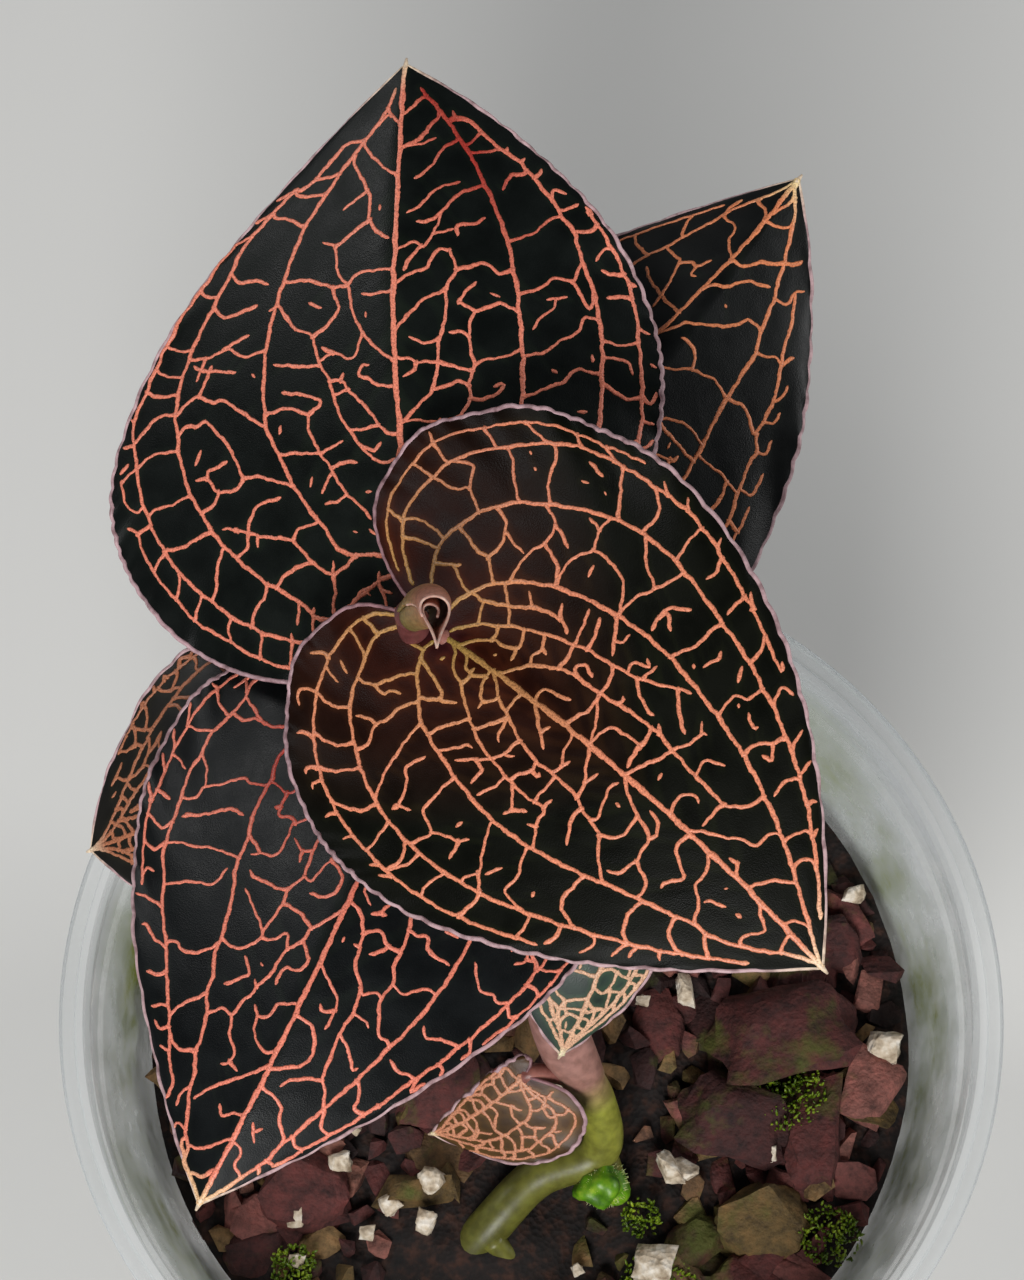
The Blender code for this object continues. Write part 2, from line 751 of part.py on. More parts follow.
def main():
    clear_scene()
    leaf_green = make_material("leaf", (0.012, 0.020, 0.012), 0.5)
    stem_mauve = make_material("stem", (0.30, 0.16, 0.15), 0.45)
    young_pink = make_material("young_leaf", (0.50, 0.25, 0.20), 0.5)
    bark = make_material("bark_mix", (0.10, 0.04, 0.03), 0.9)
    clear_plastic = make_material("pot", (0.82, 0.86, 0.90), 0.15, alpha=0.35)
    make_pot(clear_plastic)
    make_bark_mix(bark)
    make_stem(stem_mauve)
    make_young_leaf(young_pink)
    clearances = make_clearances()
    for leaf in LEAVES:
        make_leaf(leaf, leaf_green, clearances)


main()
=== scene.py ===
"""Looks of the jewel orchid in its clear pot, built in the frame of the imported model.

Metres, +Z up. The origin is the middle of the pot's flat base, and the plant's front is -Y. A blade's own
coordinates are s, from its petiole, 0, to its tip, 1, and t, from its right margin, -1, over the midrib, 0,
to its left margin, 1. Each t is the line of a long vein.
"""

import math
import random
from dataclasses import dataclass

import bmesh
import bpy
import numpy as np
from bpy.props import FloatProperty, FloatVectorProperty, IntProperty, PointerProperty
from mathutils import Matrix, Vector, noise
from mathutils.kdtree import KDTree


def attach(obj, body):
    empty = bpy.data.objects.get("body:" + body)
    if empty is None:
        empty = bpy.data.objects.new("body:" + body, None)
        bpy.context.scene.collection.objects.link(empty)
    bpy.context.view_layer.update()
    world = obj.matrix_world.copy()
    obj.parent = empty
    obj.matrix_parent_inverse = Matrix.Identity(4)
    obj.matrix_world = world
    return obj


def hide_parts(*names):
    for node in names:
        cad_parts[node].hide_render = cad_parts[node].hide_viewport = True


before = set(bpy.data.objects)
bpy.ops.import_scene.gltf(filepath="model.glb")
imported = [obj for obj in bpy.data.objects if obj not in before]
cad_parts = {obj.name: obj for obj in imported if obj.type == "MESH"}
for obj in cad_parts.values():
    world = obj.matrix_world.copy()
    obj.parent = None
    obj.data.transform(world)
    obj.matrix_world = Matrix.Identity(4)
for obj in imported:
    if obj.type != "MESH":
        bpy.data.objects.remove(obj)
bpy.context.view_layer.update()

bl_info = {
    "name": "Jewel Orchid in a Clear Pot",
    "version": (1, 0, 0),
    "blender": (4, 5, 0),
    "location": "View3D > Sidebar > Orchid",
    "description": "Builds the leaves, stem, bark mix and pot of a potted jewel orchid",
    "category": "Object",
}

MM = 0.001
UP = Vector((0, 0, 1))
GAP = 0.35 * MM

# Pot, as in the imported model.
POT_HEIGHT = 90 * MM
RIM_RADIUS = 58.5 * MM
NECK_RADIUS = 54.2 * MM
FOOT_RADIUS = 43.0 * MM
POT_WALL = 1.0 * MM
SHOULDER_HEIGHT = 80 * MM
COLLAR_STEP = 1.5 * MM
LIP_DROP = 3.6 * MM
LIP_ROLL = 1.9 * MM
BASE_RECESS = 1.2 * MM
PAD_RADIUS = 12 * MM
FOOT_WIDTH = 5 * MM
DRAIN_HOLES = 6
DRAIN_RADIUS = 3 * MM
DRAIN_CIRCLE = 25 * MM

# Bark mix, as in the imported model.
MIX_TOP = 68 * MM
MIX_ROUGHNESS = 2.2 * MM

# Stem and roots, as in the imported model.
STEM_RADIUS = 2.4 * MM
SHEATH_RADIUS = 3.4 * MM
RHIZOME_RADIUS = 2.9 * MM
STEM_PATH = [
    Vector(p) * MM
    for p in (
        (-13, -32, 60),
        (-5.5, -25, 69),
        (0.8, -19, 72),
        (8.6, -16.0, 74),
        (8.2, -11.2, 82),
        (4.4, -6.2, 91),
        (0.6, 2, 101),
        (-3.5, 11.5, 113),
        (-6.8, 20.5, 125),
        (-10, 26.8, 136),
        (-12.8, 28.8, 147),
        (-13.4, 29.0, 151.5),
    )
]
NODE_SHARES = (0.36, 0.50, 0.62, 0.73, 0.83, 0.92)
ROOT_RADIUS = 1.5 * MM
ROOT_PATHS = [
    [Vector(p) * MM for p in path]
    for path in (
        ((8.6, -14, 75), (10.5, -18.5, 72), (11.5, -21, 66), (12, -22, 56), (10, -20, 44)),
        ((2.5, -20, 73), (0, -15, 70), (-2, -12, 63), (-4, -8, 52), (-2, -4, 40)),
        ((-5, -26.5, 70), (-1.5, -29.5, 66), (1, -31, 58), (3, -30, 46)),
    )
]

# Young leaf: base, mouth and bow of its axis, its radius, and how far its point stands above the roll.
ROLL_BASE = Vector((-12.9, 28.5, 152.9)) * MM
ROLL_MOUTH = Vector((-10.5, 24.4, 163.5)) * MM
ROLL_BOW = Vector((0.6, 1.1, 0)) * MM
ROLL_RADIUS = 2.35 * MM
ROLL_POINT = 3.4 * MM

# Bud.
BUD_PLACE = Vector((9.2, -19.8, 72.6)) * MM
BUD_RADIUS = 3.0 * MM
BUD_HAIRS = 420

# Blades.
MIDRIB_HANDLES = (0.33, 0.67)
VEIN_SPREAD = 0.2
PETIOLE_RADIUS = 1.15 * MM
KEEL_REACH = 0.55
KEEL_RADIUS = 0.4 * MM


# Long veins: a width in hundredths of a millimetre, then s and t in turn, in hundredths.
LONG_VEINS = {
    "leaf_1_front": """
66 0 0 25 0 50 0 75 0 100 0; 52 3 48 8 43 14 40 20 39 30 38 40 37 50 36 60 35 68 33 75 32 81 31 86 29
92 24 97 18 100 0; 50 4 68 10 66 20 65 30 64 40 64 50 64 60 66 66 65 72 62 80 63 88 66 94 66 97 60; 46
8 84 14 85 20 86 30 85 40 85 50 86 58 89 66 88 72 89 76 86 80 85 83 84 84 86 84 90; 36 10 92 20 94 35
94 50 94 60 94 66 95; 42 3 26 10 24 20 23 30 23 40 23 50 23 54 24 58 26 62 29 65 31; 46 14 0 21 8 29 13
37 15 43 14 55 15 60 14 65 13 72 14 75 17 78 22 81 31; 52 3 -50 8 -46 14 -42 20 -40 30 -40 40 -38 50
-38 60 -37 68 -34 75 -31 84 -30 88 -34 93 -31 100 0; 50 8 -82 14 -78 20 -72 30 -70 40 -68 50 -68 60 -68
70 -67 80 -64 90 -64 95 -65; 46 7 -95 14 -92 20 -89 30 -86 40 -87 50 -86 60 -86 70 -87 78 -88 82 -89;
42 2 -20 10 -19 17 -20 22 -22 27 -23 33 -25 42 -25 49 -25 53 -24 55 -27 58 -31 62 -37; 44 13 0 18 -6 23
-10 28 -12 34 -14 40 -15 48 -14 52 -15 57 -17 61 -19 66 -25 72 -33; 44 47 0 51 -3 57 -6 63 -9 66 -14 68
-18 70 -25 69 -27""",
    "leaf_2_back_left": """
66 0 0 25 0 50 0 75 -1 90 -1 100 0; 54 0 36 20 36 30 36 46 36 53 37 62 36 70 35 76 34 82 33 85 29 88 24
90 18 91 14 92 11 96 8; 54 0 68 20 67 30 66 40 65 50 65 57 66 66 68 70 70 77 72 83 72 86 75 88 80 90 74
91 66 90 56 90 47 92 37 90 19; 50 10 83 30 83 40 83 50 83 60 84 66 86 70 88 73 91 76 95 80 95 83 97 87
98 90 98; 44 29 95 32 94 35 93 41 91 47 92 51 91 58 91 62 91 64 94; 42 30 11 35 14 43 17 50 18 55 20 61
22 64 26 68 30 72 34; 42 43 1 48 5 53 8 57 10 61 11 64 12 68 15 73 17 76 22; 56 0 -38 30 -38 45 -37 60
-37 71 -38 80 -38 88 -37 92 -35 94 -33 96 -28; 54 0 -70 30 -70 45 -69 57 -68 66 -70 70 -71 74 -71 78
-74 80 -73 82 -73 85 -72 87 -72 88 -66 90 -62 92 -58 91 -37; 48 5 -90 30 -90 53 -90 60 -89 66 -89 70
-91 74 -93 78 -94 81 -94 83 -95; 44 31 -1 33 -3 37 -7 40 -10 46 -12 49 -12 54 -14 60 -15 64 -18 67 -17;
42 15 -12 30 -16 38 -19 42 -21 45 -21 48 -22 51 -21 55 -21 58 -23""",
    "leaf_3_back_right": """
60 0 0 40 5 58 6 65 4 72 3 80 1 90 0 100 0; 46 0 40 30 42 60 43 80 44 84 41 90 39 94 38 100 0; 38 10 82
60 84 80 85 85 86 88 84 90 80 92 74 94 66; 52 0 -36 20 -34 40 -32 53 -31 59 -30 63 -29 67 -29 72 -31 76
-33 79 -32 83 -33 87 -33 93 -35 96 -37 100 0; 46 5 -60 25 -60 45 -61 61 -62 66 -58 69 -57 71 -58 72 -54
75 -56 77 -58 81 -57 82 -55 86 -59 89 -59; 36 10 -84 40 -78 55 -72 62 -72 65 -72 68 -71""",
    "leaf_4_front_left": """
62 0 0 25 0 50 0 75 0 100 0; 52 0 37 20 37 50 37 66 38 75 37 84 37 90 38 92 42 94 45 96 47 98 50 100 0;
48 0 73 20 73 50 75 66 76 70 77 73 77 77 77 80 78 83 77 85 78 87 80 90 80 92 77 94 79 95 77 94 60 93
44; 40 40 91 60 92 66 93 69 93 73 94 76 94 80 95; 54 0 -38 15 -42 29 -46 33 -45 35 -43 37 -41 40 -40 44
-39 47 -37 51 -36 54 -36 56 -34 60 -33 64 -33 67 -34 70 -33 73 -34 76 -33 79 -34 82 -37 85 -38 88 -43
90 -46 93 -53 95 -58 96 -68 98 -90 100 0; 50 0 -69 20 -80 33 -86 37 -79 41 -76 46 -76 50 -74 53 -75 56
-74 61 -73 66 -75 68 -72 72 -70 75 -66 77 -64 79 -64 81 -63 84 -63 85 -64 88 -68 90 -69 92 -83 93 -95;
42 20 -93 37 -95 43 -94 46 -93 49 -92 51 -91 56 -91 60 -90 62 -91 64 -92 67 -93 70 -92 74 -91; 44 28
-13 33 -16 37 -16 42 -15 46 -17 49 -17 53 -18 56 -19 57 -19 61 -23 63 -27 64 -33; 46 39 0 43 -3 47 -6
50 -7 54 -10 57 -11 60 -12 63 -14 65 -15 68 -18 71 -20 72 -25 74 -29 76 -34; 46 37 0 40 4 45 7 48 8 52
9 57 13 62 15 66 15 69 16 74 19 77 22 82 32 84 37; 46 36 15 42 17 46 18 50 19 54 19 57 21 60 21 63 22
69 28 71 33 73 37; 44 71 0 74 -4 78 -10 82 -19 85 -27 88 -38""",
    "leaf_5_far_left": """
60 0 0 25 0 50 0 75 0 100 0; 50 0 38 25 38 50 38 75 38 100 0; 46 0 72 25 72 50 72 75 72 100 0; 50 0 -38
25 -38 50 -38 75 -38 100 0; 46 0 -72 25 -72 50 -72 75 -72 100 0; 36 10 -90 50 -90 90 -90""",
    "leaf_6_low_right": """
64 0 0 25 0 50 0 75 0 100 0; 60 0 42 25 42 50 42 75 42 100 0; 50 10 78 50 78 75 78 100 0; 60 0 -42 25
-42 50 -42 75 -42 100 0; 50 10 -78 50 -78 75 -78 100 0""",
    "leaf_7_lowest": """
60 0 0 25 0 50 0 75 0 100 0; 50 0 30 25 30 50 30 75 30 100 0; 50 0 58 25 58 50 58 75 58 100 0; 40 0 82
25 82 50 82 90 82; 45 0 -50 25 -50 50 -50 75 -50 100 0""",
}

# Cross veins and twigs, drawn one by one: s and t in turn, in hundredths.
TWIGS = {
    "leaf_1_front": """
13 -78 14 -92; 19 -72 18 -80 18 -88; 26 -87 26 -91 28 -95; 27 -86 28 -81 28 -78; 24 -82 25 -76; 31 -70
33 -78 33 -87; 33 -87 34 -93 36 -95 37 -94; 38 -69 40 -77 40 -87; 41 -87 41 -92 42 -95; 43 -69 45 -78
46 -87; 46 -87 47 -92 48 -93; 48 -87 49 -91 50 -92; 50 -68 52 -77 51 -86; 53 -86 54 -92; 57 -86 58 -91;
54 -69 58 -79 60 -86; 58 -69 62 -77 64 -86; 61 -69 63 -77 64 -86; 63 -86 63 -90; 65 -86 65 -91; 65 -68
67 -78 69 -86; 70 -68 72 -76 74 -87; 76 -67 78 -76 80 -88; 79 -65 81 -76 82 -86; 82 -64 84 -74 85 -87;
85 -64 86 -74 87 -84; 86 -64 88 -82; 88 -64 90 -80; 7 -75 8 -63 7 -50; 24 -71 23 -62 20 -56 17 -50 15
-42; 23 -62 24 -56 22 -53 22 -48; 23 -40 26 -48 30 -54 32 -58 37 -63 39 -68; 32 -58 31 -61 32 -67; 29
-40 33 -46 37 -51 41 -57 45 -62 49 -68; 38 -43 41 -51 44 -53 47 -56 50 -61; 50 -61 51 -64; 50 -61 51
-58; 43 -38 48 -48 51 -54 56 -58 58 -66; 56 -58 57 -54 58 -52 58 -49; 58 -52 60 -56 62 -61; 55 -49 54
-46; 54 -38 59 -46 62 -51 65 -57 66 -63 67 -67; 65 -57 69 -64; 66 -57 65 -50; 61 -37 67 -49 70 -59 75
-67; 72 -55 71 -52; 69 -33 74 -50 80 -64; 77 -31 80 -44 85 -64; 82 -31 86 -48 90 -64; 87 -34 90 -50 92
-64; 10 -43 14 -34 19 -30 22 -32 22 -40; 22 -32 23 -28 23 -25; 32 -39 30 -33 28 -24; 36 -38 36 -33 35
-29 36 -28; 39 -25 39 -29 39 -35; 39 -29 42 -30 45 -35; 44 -25 46 -29 47 -33 48 -36; 46 -25 49 -28 52
-31 53 -34; 52 -31 53 -28; 56 -31 57 -30; 53 -24 51 -20; 54 -16 56 -20 59 -24 62 -28; 58 -7 61 -12 62
-16 61 -19; 57 -3 60 -4 63 -7 64 -9; 68 -18 72 -21 74 -24 76 -30; 49 -3 50 -6 54 -11 57 -15 57 -17; 54
-8 55 -8; 39 -1 42 -4 48 -10 51 -14; 48 -9 46 -5; 34 0 37 -4 40 -8 43 -11 44 -14; 43 -11 42 -8; 24 0 27
-3 32 -7 35 -9 38 -11; 33 -7 32 -4; 21 0 23 -5 26 -10; 28 -12 30 -19 31 -24; 28 -12 31 -16 33 -19 35
-20; 35 -14 36 -17 38 -21 39 -25; 38 -21 39 -21 39 -19; 41 -15 43 -18 44 -22 45 -25; 43 -18 45 -18 44
-17; 45 -14 47 -17 49 -21 51 -24; 13 -2 16 -8 18 -12 21 -15 23 -16; 23 -16 23 -13 22 -9; 23 -16 25 -19;
6 -7 10 -10 12 -13 14 -12 14 -6; 13 -12 12 -8; 14 -12 17 -19; 9 -28 8 -24; 64 0 66 -5 70 -9 74 -13 74
-18 75 -21; 69 0 73 -5 76 -12 80 -18 84 -29; 80 -16 80 -14 82 -12; 78 -6 78 -5; 84 -12 85 -12; 83 0 85
-4 89 -10 89 -22 91 -33; 91 0 95 -28; 4 8 9 13 16 16 19 15 23 16 25 18 27 23; 16 16 18 19 20 23; 23 16
22 14 20 10; 15 9 16 10; 25 11 27 15 30 18 32 23; 30 18 31 17; 33 14 36 18 39 23; 38 15 38 17 41 19 42
17; 43 14 46 18 48 23; 43 14 40 9 36 5 32 0; 43 13 41 7 39 1; 24 0 26 4 29 7 32 7 35 8; 38 0 41 4 45 8
49 9 52 9; 52 9 50 6 48 2; 52 9 54 12 55 15; 47 0 53 6 56 9 60 14; 60 14 64 19 67 24 68 25; 67 24 67
27; 65 13 67 18 70 21 72 23; 72 14 70 10 67 4; 59 1 61 5 65 9 66 8; 57 7 56 5; 63 0 66 2 73 7 77 11 80
14 84 26 86 29; 86 29 89 45 92 65; 89 27 94 65; 79 0 84 9 88 18 90 25; 89 0 95 20; 74 3 76 4; 76 3 77
2; 17 39 19 34 25 30 31 30 36 29 38 27 38 25; 27 38 25 30 23 23; 14 24 16 29 19 34; 32 35 31 30; 39 33
37 28; 39 23 41 26 43 30 45 34; 42 23 45 28 47 33; 51 36 50 32 49 29 48 25; 49 29 51 30 53 33; 51 23 53
27 56 28 56 30; 54 23 56 27 58 30; 53 23 53 20 55 18 56 18; 57 17 58 16; 47 14 49 16 49 17; 62 29 62 23
63 20; 14 65 17 56 19 52; 17 55 16 47 16 40; 25 64 25 59 25 52 26 48 24 39; 35 64 35 58 33 54 31 51 26
48; 34 55 34 52 35 47; 45 64 45 58 41 51 35 46 28 38; 45 57 45 53 45 50; 41 50 41 44 39 38; 56 65 53 59
50 52 46 48 42 43 39 38; 53 59 52 62; 50 52 53 50 54 45 52 37; 49 47 47 43; 61 65 60 57 60 50 56 44 52
37; 60 50 63 55 65 59 67 64; 58 38 60 43 63 49 65 51 67 54; 60 43 62 46 62 42; 61 35 67 45 73 62; 66 39
66 38; 72 52 71 48 68 41; 71 34 74 44 77 50 80 62; 76 57 75 50; 75 44 75 43; 77 46 78 44 79 47; 76 32
79 42 82 51 85 65; 82 51 82 45 80 41; 88 65 85 48 83 36; 16 86 17 76 18 66; 19 86 21 79 21 73 21 66; 19
86 20 94; 30 85 31 76 33 73 31 65; 35 85 37 81 36 78 33 73; 30 85 30 94; 34 85 35 94; 35 94 36 98; 43
85 44 94; 52 87 50 94; 57 89 57 94; 61 88 61 94; 45 86 44 79 42 73 40 64; 48 83 48 82; 47 77 47 76; 53
88 52 82 50 77 48 72 46 64; 57 84 58 80; 54 75 55 75; 57 74 57 73; 62 88 60 78 57 65; 66 87 65 77 61
66; 72 88 70 80 66 65; 75 88 73 77 71 70; 78 86 76 76 74 67; 81 84 80 75 78 64; 68 88 68 93; 70 88 71
95; 74 88 75 94; 79 85 79 91; 82 64 84 80 86 89; 86 65 88 88; 88 66 90 90; 90 66 92 88; 92 66 93 82""",
    "leaf_2_back_left": """
72 37 71 33 64 26; 67 -17 66 -13 62 -9 60 -5 57 0; 58 -18 58 -23 59 -26 61 -31 61 -34 61 -38; 63 -24 61
-21 58 -18; 62 -28 62 -31; 88 20 82 12 78 8 74 7 70 5 66 1; 73 17 73 12 73 7; 79 9 79 17; 73 4 74 4; 89
17 84 8 80 3 77 0; 85 72 82 60 80 50 77 41; 90 73 86 48 82 33; 91 66 88 46 85 29; 90 48 87 26; 82 71 78
58 75 43; 73 54 72 48 71 43; 77 72 74 60 72 51 68 43 66 36; 75 67 73 62 71 56 67 46; 72 63 74 61; 64 40
63 39; 90 74 91 93; 91 67 92 87; 89 80 90 97; 87 98 83 72; 83 97 78 72; 81 96 75 72; 79 96 73 71; 73 91
73 82 72 76 70 70; 69 87 68 78 65 69; 62 84 61 79 59 73 57 66; 56 83 53 76 51 69 50 66; 45 83 45 77 46
71 46 65; 37 82 37 77 36 71 36 65; 30 83 30 80; 29 76 29 71 29 66; 26 78 26 71 26 67; 62 91 61 85; 56
91 56 87 56 83; 51 91 51 87 52 84; 47 92 47 87 47 84; 40 91 41 87 41 83; 35 93 35 88 35 83; 30 94 30 89
30 84; 70 95 68 94 66 92 64 88 64 86; 69 87 70 96; 71 92 71 96; 73 92 74 97; 76 95 77 98; 70 70 70 65
69 60 66 54 64 49 59 43 53 37; 69 60 71 58 72 57; 67 69 67 65 65 60 64 56 60 52 56 49 50 48; 50 48 47
43 43 39 40 36; 50 48 50 52 53 57 56 59 58 63; 53 57 52 60 53 64; 56 59 57 58 56 55 55 51; 60 62 61 59;
41 41 44 48 44 53 43 56; 43 56 45 58 47 60 48 62; 45 58 46 58; 43 56 39 52 34 47; 43 56 42 60 43 65; 34
47 34 43 32 39 31 36; 34 47 31 48 28 49; 28 49 31 54 33 60 34 65; 28 49 25 50 23 50; 23 50 21 43 19 37;
23 50 22 56 22 61 22 66; 23 50 24 44; 40 57 41 55; 16 60 16 52 14 49 13 44; 62 33 59 28 54 20; 55 36 53
31 50 27 48 25; 48 25 48 21 51 24 54 28 56 31; 48 25 45 26 40 25 35 24 29 23 25 21 21 20; 47 36 44 31
40 25; 40 25 39 22 38 18; 36 24 34 19 32 16; 34 30 35 25 35 24; 37 32 38 30; 50 34 51 33; 32 31 30 27
29 23; 23 29 22 28; 20 23 18 22; 26 17 25 15; 55 20 54 16 50 11 53 8; 57 19 54 16; 38 1 41 5 44 8 46 10
47 9 46 7; 50 18 48 15 45 13 40 10 37 8 32 5 29 0; 48 15 49 14; 47 18 45 13; 39 15 36 11 34 7; 34 13 31
10 31 7; 30 11 27 7 25 2; 27 0 24 5 22 9; 60 8 58 5 56 1; 64 12 64 8 60 1; 75 34 71 24 66 16 64 12; 66
16 63 15 61 14 60 17 60 21; 67 23 64 19; 55 7 56 7; 91 12 91 6 88 1; 94 14 91 3; 83 -1 86 -11 89 -20 92
-33; 84 -5 85 -11 87 -21; 90 -3 93 -15 94 -25; 78 -7 81 -14 85 -22 88 -36; 71 -4 73 -8 75 -11 78 -17 80
-26; 70 -7 71 -11 73 -15 76 -20 78 -25 80 -33 81 -38; 63 0 66 -6 66 -9 68 -11 71 -14 73 -16; 66 -8 63
-5 60 -3; 69 -13 70 -16 71 -19; 70 -20 72 -21 73 -26 75 -32; 64 -18 65 -22 67 -28 66 -32 68 -38; 60 -15
58 -12 56 -8 53 -5 49 -1 47 0; 91 -37 92 -50 92 -58; 92 -45 93 -50; 87 -38 89 -50 90 -57; 86 -38 87 -50
88 -64; 81 -46 84 -56 85 -66 86 -72; 72 -38 75 -50 78 -61 80 -72; 64 -38 66 -45 69 -53 70 -61 72 -66 74
-71; 70 -61 69 -63 68 -64 67 -67 70 -71; 59 -41 62 -45 64 -50 66 -52; 65 -48 66 -52 67 -57; 78 -74 79
-83 80 -90 81 -94; 75 -79 77 -86 78 -93; 74 -80 74 -85 75 -93; 70 -77 71 -83 72 -92; 74 -93 74 -97; 71
-91 73 -96; 68 -90 68 -96; 64 -94 64 -97; 59 -89 59 -94 61 -97; 56 -89 57 -97; 53 -89 53 -94 55 -98; 88
-66 89 -73; 87 -73 88 -80; 85 -72 86 -80 87 -86; 82 -73 84 -81 84 -88; 81 -74 82 -84 83 -91; 82 -91 82
-95; 63 -70 64 -79 66 -89; 61 -70 62 -79 62 -83 61 -84; 57 -69 57 -79 59 -89; 50 -73 50 -81 53 -90; 50
-58 51 -62; 54 -38 56 -44 59 -50 62 -58 65 -63 66 -70; 47 -38 50 -44 53 -51 56 -56 57 -61 58 -68; 54
-47 54 -49; 60 -64 59 -64; 48 -4 48 -8 50 -13; 43 0 44 -4 44 -6 45 -9 46 -12; 46 -12 46 -15 47 -21; 44
-6 42 -5 40 -2; 40 -10 42 -14 44 -18 44 -21; 52 -15 53 -18 53 -21; 42 -21 43 -25 45 -29 47 -31 47 -30
46 -28; 48 -22 50 -25 52 -31 55 -37; 31 -1 33 -5 34 -10 36 -15 38 -18; 34 -13 35 -12; 27 -1 26 -3""",
    "leaf_4_front_left": """
43 -94 43 -88 42 -81 41 -76; 43 -94 44 -98; 40 -76 38 -70 35 -66 33 -61 31 -57 28 -54 25 -53; 36 -79 35
-72 34 -65 33 -61; 51 -91 49 -85 47 -80 45 -76; 51 -91 49 -98; 55 -91 54 -98; 59 -90 58 -97; 64 -92 63
-98; 56 -91 55 -86 54 -78; 49 -74 49 -67 50 -65 51 -63; 57 -73 55 -67 53 -64 51 -63 47 -56 42 -50 41
-46 38 -41; 59 -69 58 -67; 57 -65 55 -60 52 -54 48 -48 46 -42; 64 -72 61 -63 59 -56 56 -49 54 -43 52
-37; 69 -70 67 -63 64 -55 61 -46 59 -42 55 -39; 75 -65 73 -57 73 -54 71 -45 68 -38 65 -33; 62 -91 61
-86 60 -80; 66 -93 65 -86 64 -79 61 -73; 69 -92 68 -83 65 -75; 73 -91 71 -86 70 -80; 72 -70 74 -84 75
-90 76 -97; 76 -66 77 -76 77 -84 78 -90; 78 -64 80 -72 81 -79 82 -87; 82 -64 84 -78 85 -86; 83 -64 79
-50 76 -41 73 -34; 84 -63 86 -77 86 -84; 85 -64 85 -56 84 -48 82 -37; 87 -68 88 -82; 87 -42 90 -57 92
-69; 95 -58 93 -29 90 -11 87 -3 86 0; 98 -80 96 -20 93 0; 93 -53 94 -78 95 -93; 94 -57 96 -85 97 -95;
81 0 83 -6 85 -12 84 -15; 71 -20 74 -19 75 -15 77 -16 78 -17 79 -20; 77 -15 77 -11; 58 0 60 -3 62 -6 65
-7 67 -11; 66 -13 67 -11 69 -10 70 -8 70 -4 68 -1; 62 -22 63 -19 64 -19 66 -22 68 -25 69 -27; 60 -16 60
-15; 63 -16 64 -15; 50 -7 51 -4 51 -3 54 -4 56 -8 58 -9 60 -9; 57 -19 55 -15 52 -12 54 -10; 49 -17 48
-14 47 -11 47 -8 47 -6; 56 -19 55 -23 54 -30; 46 -17 48 -20 50 -26 51 -29 51 -31; 47 -37 47 -33 47 -30;
49 -33 47 -30 45 -26 43 -25 40 -25 37 -26 37 -25 33 -22 31 -20; 37 -41 35 -34 33 -32 31 -32; 35 -34 38
-32 39 -31 37 -27 37 -25; 38 -33 39 -34; 37 -16 39 -19 39 -23; 39 -19 41 -18; 42 -15 41 -12 37 -11 35
-10 32 -9; 35 -10 35 -5 37 -4 39 -5 41 -7 43 -11; 70 43 73 49 75 60 77 70 78 76; 76 43 79 53 81 64 83
77; 79 37 83 50 86 61 88 78; 84 37 88 52 91 79; 89 41 91 53 92 66; 94 46 96 75; 66 76 68 84 69 92; 69
77 71 86 73 94; 76 94 75 87 73 81; 71 93 72 96; 77 77 79 85 81 93 82 95; 81 78 83 91 84 95; 83 78 86 92
85 94; 87 80 88 90; 45 7 45 10 46 12 49 15 51 18; 49 15 50 13 50 11; 57 13 59 15 59 18 61 21; 63 16 65
20 67 23; 67 15 70 20 73 25 76 30 76 32; 77 22 76 17 75 9 76 7; 50 1 56 6 59 9 61 10 65 10; 61 10 61 7
59 5; 60 0 63 5 66 8 70 11 72 10 72 5 72 1; 75 0 78 7 81 13 85 20 90 37; 83 5 85 8 85 12; 85 8 86 9 88
14; 87 2 88 6 90 11 93 16 96 46; 93 1 97 12; 34 6 35 3 37 4 39 6; 39 12 40 10 41 9 41 7; 41 9 42 11; 45
3 46 3; 48 8 47 6; 46 18 48 21 49 24 52 26 55 31 57 35; 58 21 61 26 61 29 61 32 63 37; 58 43 62 48 66
55 68 63 70 68 71 75; 60 62 62 64 62 60; 62 64 64 71; 48 28 49 29 51 33""",
    "leaf_3_back_right": """
84 -33 86 -47 89 -59 91 -78; 89 -34 91 -50 93 -70; 76 -33 78 -41 80 -49 81 -57; 67 -29 70 -38 71 -45 71
-51 72 -54; 58 -31 61 -40 63 -47 65 -57; 81 -57 83 -65 84 -70; 77 -58 79 -65 81 -69; 74 -56 76 -64 78
-68; 71 -58 73 -66 75 -68; 66 -58 69 -69 72 -71; 63 -62 64 -67 65 -72; 54 -2 58 -7 61 -11 65 -19 66 -23
67 -29; 61 -11 63 -9 62 -4 61 -2; 60 5 63 0 68 -7 72 -14 76 -20 77 -22 79 -32; 71 3 74 -3 77 -7 80 -12
82 -19 84 -27; 78 1 80 -5 84 -13 86 -20 89 -34; 89 0 92 -20 95 -37; 97 -15 94 -8 91 -3; 51 -12 53 -14
56 -19 58 -24 59 -29; 88 84 85 62 82 43; 92 75 89 55 86 41; 91 39 93 48 95 57; 91 38 88 17 84 10 79 1;
84 41 81 28 79 22 73 16 68 14; 79 22 79 17 78 13 79 9; 78 13 76 12 75 9; 95 33 92 8 89 1; 73 -9 73 -8""",
}


